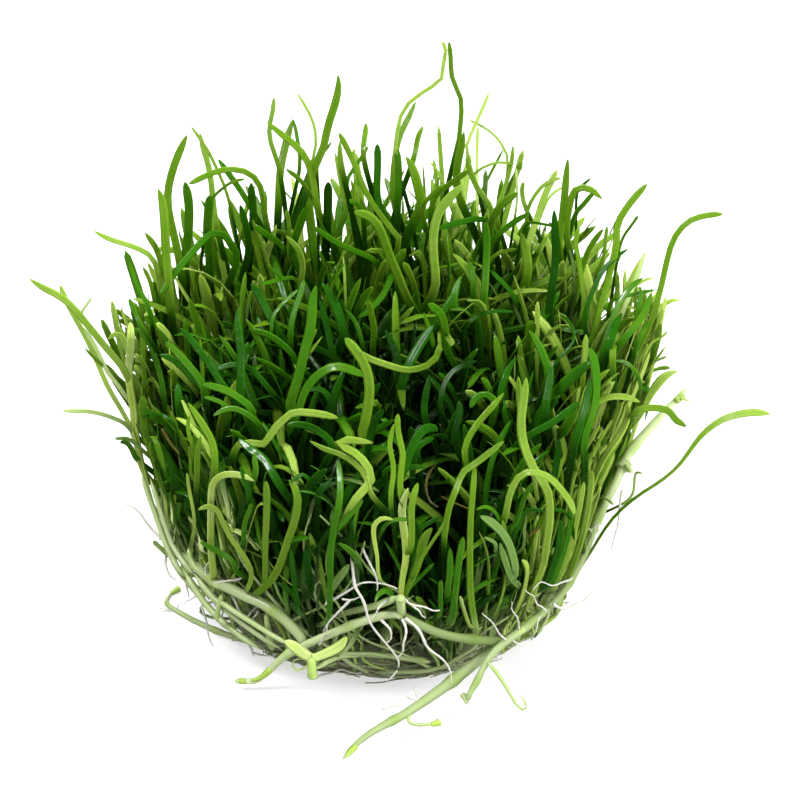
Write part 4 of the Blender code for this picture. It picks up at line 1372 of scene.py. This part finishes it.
def smooth_path(knots, shares):
    """A curve along the knots, read at shares of its length.

    Between two knots it is the cubic whose slope at each is half the step between that knot's neighbours.
    Each smoothing then moves every point but the ends halfway to the mean of its neighbours."""
    padded = np.concatenate([2 * knots[:1] - knots[1:2], knots, 2 * knots[-1:] - knots[-2:-1]])
    before, start, end, after = padded[:-3, None], padded[1:-2, None], padded[2:-1, None], padded[3:, None]
    t = np.linspace(0, 1, STEPS_BETWEEN_KNOTS, endpoint=False)[None, :, None]
    dense = 0.5 * (
        2 * start
        + (end - before) * t
        + (2 * before - 5 * start + 4 * end - after) * t**2
        + (3 * start - before - 3 * end + after) * t**3
    )
    dense = np.concatenate([dense.reshape(-1, knots.shape[1]), knots[-1:]])
    for _ in range(ROUTE_SMOOTHING):
        dense[1:-1] = (dense[:-2] + 2 * dense[1:-1] + dense[2:]) / 4
    travelled = np.concatenate([[0], np.cumsum(np.linalg.norm(np.diff(dense[:, :3], axis=0), axis=1))])
    places = travelled[-1] * shares
    return np.stack([np.interp(places, travelled, column) for column in dense.T], axis=1)


def routed_leaf(line, foot_depth=None):
    """Knots of the drawn part from its lowest point to the tip, tone, width and foot of a leaf's route.

    At its lowest drawn point the leaf stands on the front of the mass, or at the depth of the foot that it
    shares. Its tip lies at its own depth if it has one, and otherwise a share of the way back that the mass
    takes behind it."""
    tone, width, *words = line.split()
    width, *foot = (float(number) for number in width.split(":"))
    foot = (foot[0] / width, foot[1]) if foot else FOOT
    own_depth = None if "," in words[0] else float(words.pop(0)) * MM
    pixels = read_route(words)
    surface = front_depths(pixels) - STANDS_PROUD
    steps = np.linalg.norm(np.diff(pixels, axis=0), axis=1)
    way = np.concatenate([[0], np.cumsum(steps)]) / steps.sum()
    if foot_depth is not None:
        depths = foot_depth * (1 - way) + own_depth * way
    elif own_depth is None:
        depths = np.minimum(surface[0] + TIP_FOLLOWS_MASS * (surface - surface[0]), surface)
    elif own_depth - LEANS_BACK > surface[0]:
        depths = own_depth - LEANS_BACK * (1 - way)
    else:
        depths = np.minimum(surface[0] * (1 - way) + own_depth * way, surface)
    drawn = pixel_points(pixels, depths)
    return drawn, TONES[tone], width, foot


def down_to_mat(drawn, aside):
    """The knots below a drawn leaf: a column further back and this far aside, from inside the mat to just
    below its lowest drawn point. The offset of that point fades out downwards with the cube of the height."""
    foot = drawn[0]
    column = foot[:2] / widening(foot[2]) + (aside, GOES_BACK)
    column = column * min(1, MOST_FOOT_RADIUS / max(np.linalg.norm(column), 1e-6))
    low = min(LEAF_END, foot[2] - LEAST_DROP)
    count = max(3, int((foot[2] - low) / KNOT_SPACING))
    heights = np.linspace(low, foot[2], count + 1)
    knots = column_points(np.broadcast_to(column, (count + 1, 2)), heights)
    knots += (foot - knots[-1]) * ((heights - low) / (foot[2] - low))[:, None] ** 3
    return knots[:-1]


def below_drawn(drawn, aside, foot, loose):
    """The knots of a leaf below its drawn part: none, the foot that it shares, or its way down to the mat."""
    if loose:
        return drawn[:0]
    if foot is not None:
        return foot
    return down_to_mat(drawn, aside)


def routed_leaves(name, lines, chance, foot=None, loose=False, least_pale=0):
    """One piece of all the leaves of a group of routes, which go on down to the mat, start at the foot that
    they share, or are caught loose between the others. Each blade faces the camera, turned a little."""
    shares = tip_shares(ROUTED_SAMPLES)
    forward = camera_axes()[3]
    paths, tones, widths, feet, shaded = [], [], [], [], []
    for line in lines:
        drawn, tone, width, foot_share = routed_leaf(line, None if foot is None else foot[0, 1])
        aside = chance.uniform(-GOES_ASIDE, GOES_ASIDE)
        below = below_drawn(drawn, aside, foot, loose)
        path = smooth_path(np.concatenate([below, drawn]), shares)
        start = path_lengths(np.concatenate([below, drawn[:1]])[None])[0]
        hidden = 1 - smooth_step(shares * path_lengths(path[None])[0], start - HIDDEN_FADE, start)
        paths.append(path)
        # Painted shade: below its drawn part the leaf's tone falls to the middle one at most, and it is
        # shaded.
        tones.append(tone + (min(tone, TONES["M"]) - tone) * hidden)
        widths.append(width)
        feet.append(foot_share)
        shaded.append(HIDDEN_SHADE * hidden)
    paths = np.array(paths)
    count = len(paths)
    widths = np.array(widths) * MM / PIXELS_PER_MM
    along = unit(np.gradient(paths, axis=1))
    flat = unit(np.cross(along, forward))
    turn = np.radians(chance.uniform(-BLADE_TURN, BLADE_TURN, count))[:, None]
    twist = np.radians(chance.uniform(-BLADE_TWIST, BLADE_TWIST, count))[:, None]
    turn = turn + twist * (1 - shares)
    wide_way = flat * np.cos(turn)[..., None] + np.cross(along, flat) * np.sin(turn)[..., None]
    tones = np.array(tones) + TONE_RISE * (shares - 0.6)
    pale = np.maximum(0.7 * (1 - smooth_step(paths[..., 2], 0.009, 0.018)), least_pale)
    leaves = (paths, wide_way, widths, tones, pale)
    return add_leaves(name, leaves, STRAP_SECTION, chance, np.array(feet), np.array(shaded))


def foot_at(pixel, depth):
    """The foot that the leaves of a plantlet share: the point seen at this pixel at this depth."""
    return pixel_points(read_route([pixel]), np.array([depth]))


def lines_of(text):
    """The routes of a text. A line that starts with a point goes on with the route above it."""
    routes = []
    for line in text.strip().splitlines():
        if "," in line.split()[0]:
            routes[-1] += " " + line.strip()
        else:
            routes.append(line.strip())
    return routes


def seen_at(points):
    """The pixels at which points are seen, and how far away they are along the view."""
    eye, right, up, forward = camera_axes()
    offset = points - eye
    away = offset @ forward
    focal = focal_pixels()
    columns = PICTURE_SIZE / 2 + focal * (offset @ right) / away
    rows = PICTURE_SIZE / 2 - focal * (offset @ up) / away
    return columns, rows, away


def drawn_strands():
    """Path and width in pixels of every leaf, runner and shoot that is drawn on the picture."""
    shares = np.linspace(0, 1, COVER_SAMPLES)
    for name, text in LEAF_ROUTES.items():
        for line in lines_of(text):
            drawn, _, width, _ = routed_leaf(line, NODE_FOOT[1] if name == NODE_PLANTLET else None)
            yield smooth_path(drawn, shares), width
    for _, diameters, _, text in RUNNER_ROUTES.values():
        yield smooth_path(route_points(text), shares), PIXELS_PER_MM * max(width for _, width in diameters)
    for line in lines_of(SHOOT_ROUTES):
        _, start, end, route = line.split(maxsplit=3)
        yield smooth_path(route_points(route), shares), max(float(start), float(end))


def drawn_cover():
    """For each pixel of the picture, how far away the farthest drawn strand is that shows there, or 0."""
    cover = np.zeros((PICTURE_SIZE, PICTURE_SIZE))
    for path, width in drawn_strands():
        reach = width / 2 + CLEARANCE
        for column, row, away in zip(*seen_at(path)):
            rows = slice(max(int(row - reach), 0), int(row + reach) + 1)
            patch = cover[rows, max(int(column - reach), 0) : int(column + reach) + 1]
            np.maximum(patch, away, out=patch)
    return cover


def hiding_drawn(paths, cover):
    """Whether each path passes in front of something that is drawn on the picture, in more than one place."""
    between = [paths[:, :-1] * (1 - share) + paths[:, 1:] * share for share in (0, 0.25, 0.5, 0.75)]
    columns, rows, away = seen_at(np.concatenate(between, axis=1))
    last = PICTURE_SIZE - 1
    limits = cover[np.clip(rows, 0, last).astype(int), np.clip(columns, 0, last).astype(int)]
    return (away < limits - IN_FRONT).sum(axis=1) > 1


def clear_of_drawn(leaves, cover):
    """The leaves, each moved back until it hides nothing that is drawn on the picture, and without those that
    still do."""
    paths = leaves[0]
    for _ in range(STEPS_BACK):
        hiding = hiding_drawn(paths, cover)
        paths[hiding] = kept_in(paths[hiding] + (0, STEP_BACK, 0))
    kept = ~hiding_drawn(paths, cover)
    return tuple(part[kept] for part in (paths, *leaves[1:]))


class AddLeafMass(bpy.types.Operator):
    """Adds the leaves of the crowns on the mat, one piece for each group of crowns"""

    bl_idname = "lilaeopsis.leaf_mass"
    bl_label = "Leaf mass"

    def execute(self, context):
        chance = random_draws(0)
        centres = crown_centres()
        cover = drawn_cover()
        for name, numbers in CROWN_GROUPS.items():
            leaves = clear_of_drawn(seeded_leaves(centres[np.array(numbers) - 1], chance), cover)
            piece = add_leaves(name, leaves, PLAIN_STRAP_SECTION, chance)
            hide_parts(*(f"plantlet_{number:02d}" for number in numbers))
        return {"FINISHED"}


class AddSideRunners(bpy.types.Operator):
    """Adds the thin runners up the side of the mass and the leaves that they carry"""

    bl_idname = "lilaeopsis.side_runners"
    bl_label = "Side runners"

    def execute(self, context):
        chance = random_draws(5)
        bearings, heights = side_runners(chance)
        share = np.linspace(0, 1, SIDE_SAMPLES)
        proud = side_proud(bearings, heights) * smooth_step(share, 0.0, 0.3)
        sunk = SIDE_SUNK * (1 - smooth_step(share, 0.0, 0.2))
        paths = side_points(bearings, heights, proud - sunk)
        radii = chance.uniform(*SIDE_RADII, SIDE_RUNNERS)[:, None] * (1 - 0.6 * share)
        points, faces, across = tube(paths, radii, SIDE_SIDES)
        tones = chance.uniform(0, 1.2, SIDE_RUNNERS)[:, None, None]
        # The side runners get the side shoots' painted shade.
        add_stems("side_runners", points, faces, across, tones, SHOOT_SHADE)
        leaves = clear_of_drawn(side_leaves(bearings, heights, chance), drawn_cover())
        add_leaves("side_runner_leaves", leaves, PLAIN_STRAP_SECTION, chance, SIDE_FEET)
        return {"FINISHED"}


class AddRoutedLeaves(bpy.types.Operator):
    """Adds the leaves that stand out, each along its drawn route"""

    bl_idname = "lilaeopsis.routed_leaves"
    bl_label = "Leaves that stand out"

    def execute(self, context):
        chance = random_draws(1)
        for name, text in LEAF_ROUTES.items():
            if name != NODE_PLANTLET:
                routed_leaves(name, lines_of(text), chance, loose=name == "loose_leaves")
        return {"FINISHED"}


class AddNodePlantlet(bpy.types.Operator):
    """Adds the plantlet that the front runners carry where they meet"""

    bl_idname = "lilaeopsis.node_plantlet"
    bl_label = "Node plantlet"

    def execute(self, context):
        chance = random_draws(2)
        lines = lines_of(LEAF_ROUTES[NODE_PLANTLET])
        piece = routed_leaves(NODE_PLANTLET, lines, chance, foot_at(*NODE_FOOT))
        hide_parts("plantlet_38")
        return {"FINISHED"}


def tube(paths, radii, sides):
    """Round strands: paths (strands, samples, 3) with a radius at each sample."""
    along = unit(np.gradient(paths, axis=1))
    level = np.where(np.abs(along[..., 2:]) > 0.9, [1.0, 0, 0], [0, 0, 1.0])
    section = ring_section(sides)
    points, faces = strands(paths, level, 2 * radii, 2 * radii, section)
    across = np.broadcast_to(np.arange(sides) / sides * 2 - 1, (*paths.shape[:2], sides))
    return points, faces, across


def add_stems(name, points, faces, across, tones, shade):
    """A piece of stems with the finish of the runners."""
    attributes = {
        "tone": np.broadcast_to(tones, across.shape),
        "across": across,
        "shade": np.broadcast_to(shade, across.shape),
    }
    return add_piece(name, points, faces, attributes, "runner_skin")


def route_points(text):
    """Knots of a route whose points each have a depth in millimetres, in the order written."""
    knots = read_route(text.split())[::-1]
    return pixel_points(knots, knots[:, 2] * MM)


class AddRunners(bpy.types.Operator):
    """Adds the runners, each a round stem with a swelling at each of its nodes"""

    bl_idname = "lilaeopsis.runners"
    bl_label = "Runners"

    def execute(self, context):
        for name, (shades, diameters, nodes, text) in RUNNER_ROUTES.items():
            samples = np.linspace(0, 1, RUNNER_TUBE[0])
            path = smooth_path(route_points(text), samples)
            radii = np.interp(samples, *zip(*diameters)) * MM / 2
            travelled = samples * path_lengths(path[None])[0]
            from_node = (travelled + NODE_SPACING / 2) % NODE_SPACING - NODE_SPACING / 2
            node = np.exp(-((from_node / NODE_LENGTH) ** 2))
            radii = radii * (1 + NODE_SWELLING * node)
            radii[[0, -1]] *= 0.4
            path[:, 2] = np.maximum(path[:, 2], radii)
            points, faces, across = tube(path[None], radii[None], RUNNER_TUBE[1])
            tones = (0.2 + 0.45 * node)[None, :, None]
            # Painted shade along the runner, from its table.
            shade = np.interp(samples, *zip(*shades))[None, :, None]
            piece = add_stems(name, points, faces, across, tones, shade)
            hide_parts(*nodes)
        return {"FINISHED"}


class AddShoots(bpy.types.Operator):
    """Adds the side shoots and buds on the runners"""

    bl_idname = "lilaeopsis.shoots"
    bl_label = "Side shoots"

    def execute(self, context):
        samples = np.linspace(0, 1, SHOOT_TUBE[0])
        paths, radii, tones = [], [], []
        for line in lines_of(SHOOT_ROUTES):
            tone, start, end, route = line.split(maxsplit=3)
            path = smooth_path(route_points(route), samples)
            diameter = np.interp(samples, (0, 1), (float(start), float(end))) / PIXELS_PER_MM * MM
            ends = smooth_step(samples, -0.02, 0.12) * smooth_step(1 - samples, -0.02, 0.15)
            radius = diameter / 2 * ends
            path[:, 2] = np.maximum(path[:, 2], radius)
            paths.append(path)
            radii.append(radius)
            tones.append(float(tone))
        points, faces, across = tube(np.array(paths), np.array(radii), SHOOT_TUBE[1])
        tones = np.array(tones)[:, None, None]
        # Painted shade: the less a shoot has the bud's tone, the darker it is made.
        add_stems("side_shoots", points, faces, across, tones, SHOOT_SHADE * (1 - tones))
        return {"FINISHED"}


class AddRoots(bpy.types.Operator):
    """Adds the white roots that hang free of the mat"""

    bl_idname = "lilaeopsis.roots"
    bl_label = "Roots"

    def execute(self, context):
        chance = random_draws(6)
        samples = np.linspace(0, 1, ROOT_TUBE[0])
        right, up = camera_axes()[1:3]
        paths, radii = [], []
        for line in lines_of(ROOT_ROUTES):
            width, route = line.split(maxsplit=1)
            path = smooth_path(route_points(route), samples)
            for way in (right, up):
                turns = samples[:, None] * chance.uniform(0.7, 1.8) + chance.random()
                reach = ROOT_WAVE * path_lengths(path[None])[0]
                path = path + way * reach * samples[:, None] * np.sin(2 * np.pi * turns)
            radius = float(width) / PIXELS_PER_MM * MM / 2
            radius = radius * (1 - 0.6 * samples) * (1 + 0.12 * np.sin(samples * 41 + chance.uniform(0, 6)))
            path[:, 2] = np.maximum(path[:, 2], radius)
            paths.append(path)
            radii.append(radius)
        points, faces, across = tube(np.array(paths), np.array(radii), ROOT_TUBE[1])
        piece = add_piece("white_roots", points, faces, {"across": across}, "root_skin")
        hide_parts(*(f"root_{number:02d}" for number in range(1, 7)))
        return {"FINISHED"}


def mat_radius(heights):
    radii, levels = zip(*MAT_RINGS)
    return np.interp(heights, levels, radii)


def rough(angles, heights):
    """A sum of waves round and up the mat, mostly between -1 and 1."""
    waves = ((5, 300, 0.3), (9, 520, 1.9), (17, -700, 4.0), (31, 1100, 2.2), (53, -1600, 5.1))
    total = 0
    for turns, climb, phase in waves:
        total = total + np.sin(turns * angles + climb * heights + phase) / math.sqrt(turns)
    return total


class AddRootMat(bpy.types.Operator):
    """Adds the root mat: a rough turned body, and fine roots that wrap its side"""

    bl_idname = "lilaeopsis.root_mat"
    bl_label = "Root mat"

    def execute(self, context):
        body = self.add_body()
        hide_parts("root_mat")
        self.add_fibres()
        return {"FINISHED"}

    def add_body(self):
        """A turned surface. The profile goes from the middle of the underside out, up the side and back to
        the middle of the top, and its radius is roughened by the waves. The two middles are single points."""
        foot_radius, top_radius, top = MAT_RINGS[0][0], *MAT_RINGS[-1]
        side = np.linspace(0, top, MAT_SIDE_ROWS)
        inner = np.linspace(0.2, 0.96, MAT_FACE_ROWS)
        radii = np.concatenate([foot_radius * inner, mat_radius(side), top_radius * inner[::-1]])
        heights = np.concatenate([np.zeros(MAT_FACE_ROWS), side, np.full(MAT_FACE_ROWS, top)])
        angles = 2 * np.pi * np.arange(MAT_AROUND) / MAT_AROUND
        grid_angles, grid_heights = np.meshgrid(angles, heights)
        reach = radii[:, None] + MAT_ROUGHNESS * rough(grid_angles, grid_heights)
        lift = np.clip(0.0003 * rough(grid_angles * 2, grid_heights + reach), 0, None)
        points = ring_points(reach, grid_angles, grid_heights + lift).reshape(-1, 3)
        number = np.arange(len(points)).reshape(reach.shape)
        turned = np.roll(number, -1, axis=1)
        low_fan = np.stack([turned[0], number[0], np.full(MAT_AROUND, len(points))], axis=-1)
        high_fan = np.stack([number[-1], turned[-1], np.full(MAT_AROUND, len(points) + 1)], axis=-1)
        points = np.concatenate([points, [[0, 0, 0], [0, 0, top]]])
        tones = 0.30 + 0.25 * rough(np.arctan2(points[:, 1], points[:, 0]) * 3, points[:, 2])
        faces = bands(number).tolist() + low_fan.tolist() + high_fan.tolist()
        return add_piece("mat_body", points, faces, {"tone": tones}, "matted_roots")

    def add_fibres(self):
        """Each fine root runs round the side at its own slow climb, and waves in and out of the surface."""
        chance = random_draws(3)
        count = FIBRES
        share = np.linspace(0, 1, FIBRE_TUBE[0])
        angles = chance.uniform(0, 2 * np.pi, count)[:, None]
        angles = angles + chance.uniform(-0.5, 0.5, count)[:, None] * share
        climb = chance.uniform(-0.004, 0.004, count)[:, None] * share
        turns = share * chance.uniform(0.5, 2, count)[:, None] + chance.random(count)[:, None]
        wave = FIBRE_WAVE * np.sin(2 * np.pi * turns)
        thick = chance.uniform(0.00008, 0.00020, count)[:, None] * (1 - 0.5 * share)
        heights = np.clip(chance.uniform(0.0002, 0.0092, count)[:, None] + climb + wave, thick, 0.0098)
        loose = chance.uniform(0, 1, count)[:, None] ** 6 * 0.0022 * share**2
        surface = mat_radius(heights) + MAT_ROUGHNESS * rough(angles, heights)
        reach = surface + 0.0001 + loose + np.abs(wave) * 0.4
        paths = ring_points(reach, angles, heights)
        points, faces, across = tube(paths, thick, FIBRE_TUBE[1])
        tones = np.broadcast_to(chance.uniform(0.3, 1.1, count)[:, None, None], across.shape)
        return add_piece("mat_fibres", points, faces, {"tone": tones}, "matted_roots")


class AddYoungShoot(bpy.types.Operator):
    """Adds the young shoot at the front left"""

    bl_idname = "lilaeopsis.young_shoot"
    bl_label = "Young shoot"

    def execute(self, context):
        chance = random_draws(4)
        lines = lines_of(YOUNG_SHOOT)
        piece = routed_leaves("young_shoot_leaves", lines, chance, foot_at(*SHOOT_FOOT), least_pale=0.35)
        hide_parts("young_shoot")
        return {"FINISHED"}


class AddStage(bpy.types.Operator):
    """Adds the camera, the pale floor and the soft light"""

    bl_idname = "lilaeopsis.stage"
    bl_label = "Stage"

    def execute(self, context):
        stage = settings().stage
        self.add_camera(stage)
        self.add_floor()
        self.add_room(stage)
        for name, (place, size) in LIGHTS.items():
            light = self.add_light(name, getattr(stage, name), place, size)
            light.visible_glossy = name == "key"
        context.scene.view_settings.view_transform = "Standard"
        return {"FINISHED"}

    def add_camera(self, stage):
        data = bpy.data.cameras.new("camera")
        data.lens = stage.lens
        data.sensor_width = SENSOR_WIDTH
        data.clip_start = 0.01
        camera = bpy.data.objects.new("camera", data)
        camera.location = camera_axes()[0]
        camera.rotation_euler = (math.pi / 2 - stage.elevation, 0, 0)
        bpy.context.scene.collection.objects.link(camera)
        bpy.context.scene.camera = camera

    def add_floor(self):
        """A flat square floor that turns to plain white away from the clump, inside a white dome that only
        the camera sees, so that every view has the same white background."""
        finish = Finish("floor")
        values = {"Base Color": (0.86, 0.86, 0.86, 1), "Roughness": 0.6}
        surface = finish.node("ShaderNodeBsdfPrincipled", {}, values)
        place = finish.node("ShaderNodeTexCoord", output="Object")
        away = finish.node("ShaderNodeVectorMath", {"operation": "LENGTH"}, {0: place}, output="Value")
        share = SHADOWLESS + (1 - SHADOWLESS) * away.between(0.35 * FLOOR_HALF, 0.85 * FLOOR_HALF)
        white = finish.node("ShaderNodeEmission")
        material = finish.finish(finish.node("ShaderNodeMixShader", {}, {"Fac": share, 1: surface, 2: white}))
        half = FLOOR_HALF
        corners = [(-half, -half, 0), (half, -half, 0), (half, half, 0), (-half, half, 0)]
        floor = self.add_set_piece("floor", corners, [(0, 1, 2, 3)], material)
        floor.visible_glossy = False
        self.add_dome()

    def add_dome(self):
        """A sphere round the room: rings of points whose radius and height are the sine and cosine of the
        angle down from the top."""
        down = np.linspace(DOME_END, math.pi - DOME_END, DOME_RINGS)
        around = 2 * np.pi * np.arange(DOME_AROUND) / DOME_AROUND
        down, around = np.meshgrid(down, around, indexing="ij")
        points = DOME_RADIUS * ring_points(np.sin(down), around, np.cos(down)).reshape(-1, 3)
        number = np.arange(down.size).reshape(down.shape)
        faces = bands(number)[:, ::-1].tolist() + [number[0].tolist(), number[-1, ::-1].tolist()]
        finish = Finish("dome")
        white = finish.finish(finish.node("ShaderNodeEmission"))
        dome = self.add_set_piece("dome", points, faces, white)
        dome.visible_diffuse = False
        dome.visible_glossy = False
        dome.visible_transmission = False
        dome.visible_shadow = False

    def add_set_piece(self, name, points, faces, material):
        mesh = bpy.data.meshes.new(name)
        mesh.from_pydata(points, [], faces)
        mesh.materials.append(material)
        piece = bpy.data.objects.new(name, mesh)
        bpy.context.scene.collection.objects.link(piece)
        return piece

    def add_room(self, stage):
        world = bpy.data.worlds.new("room")
        bpy.context.scene.world = world
        world.use_nodes = True
        background = world.node_tree.nodes["Background"]
        background.inputs["Color"].default_value = (1, 1, 1, 1)
        background.inputs["Strength"].default_value = stage.room
        world.cycles_visibility.glossy = False

    def add_light(self, name, power, place, size):
        """A square soft box that looks at the middle of the clump."""
        data = bpy.data.lights.new(name, "AREA")
        data.energy = power
        data.size = size
        light = bpy.data.objects.new(name, data)
        light.location = place
        aim = settings().stage.aim
        away = np.array(place) - np.array(aim)
        light.rotation_euler = (
            math.atan2(math.hypot(away[0], away[1]), away[2]),
            0,
            math.atan2(away[1], away[0]) + math.pi / 2,
        )
        bpy.context.scene.collection.objects.link(light)
        return light


OPERATORS = (
    AddStage,
    AddLeafMass,
    AddSideRunners,
    AddRoutedLeaves,
    AddNodePlantlet,
    AddRunners,
    AddShoots,
    AddRoots,
    AddRootMat,
    AddYoungShoot,
)


class ClumpPanel(bpy.types.Panel):
    """The clump's settings and operators"""

    bl_idname = "VIEW3D_PT_lilaeopsis"
    bl_label = "Lilaeopsis"
    bl_space_type = "VIEW_3D"
    bl_region_type = "UI"
    bl_category = "Lilaeopsis"

    def draw(self, context):
        for group in (settings().leaves, settings().stems, settings().stage):
            box = self.layout.box()
            for name in group.__annotations__:
                box.prop(group, name)
        for operator in OPERATORS:
            self.layout.operator(operator.bl_idname)


CLASSES = (LeafSettings, StemSettings, StageSettings, ClumpSettings, *OPERATORS, ClumpPanel)


def register():
    for cls in CLASSES:
        bpy.utils.register_class(cls)
    bpy.types.Scene.lilaeopsis = PointerProperty(type=ClumpSettings)


def unregister():
    del bpy.types.Scene.lilaeopsis
    for cls in reversed(CLASSES):
        bpy.utils.unregister_class(cls)


def main():
    register()
    for operator in OPERATORS:
        area, name = operator.bl_idname.split(".")
        getattr(getattr(bpy.ops, area), name)()


if __name__ == "__main__":
    main()
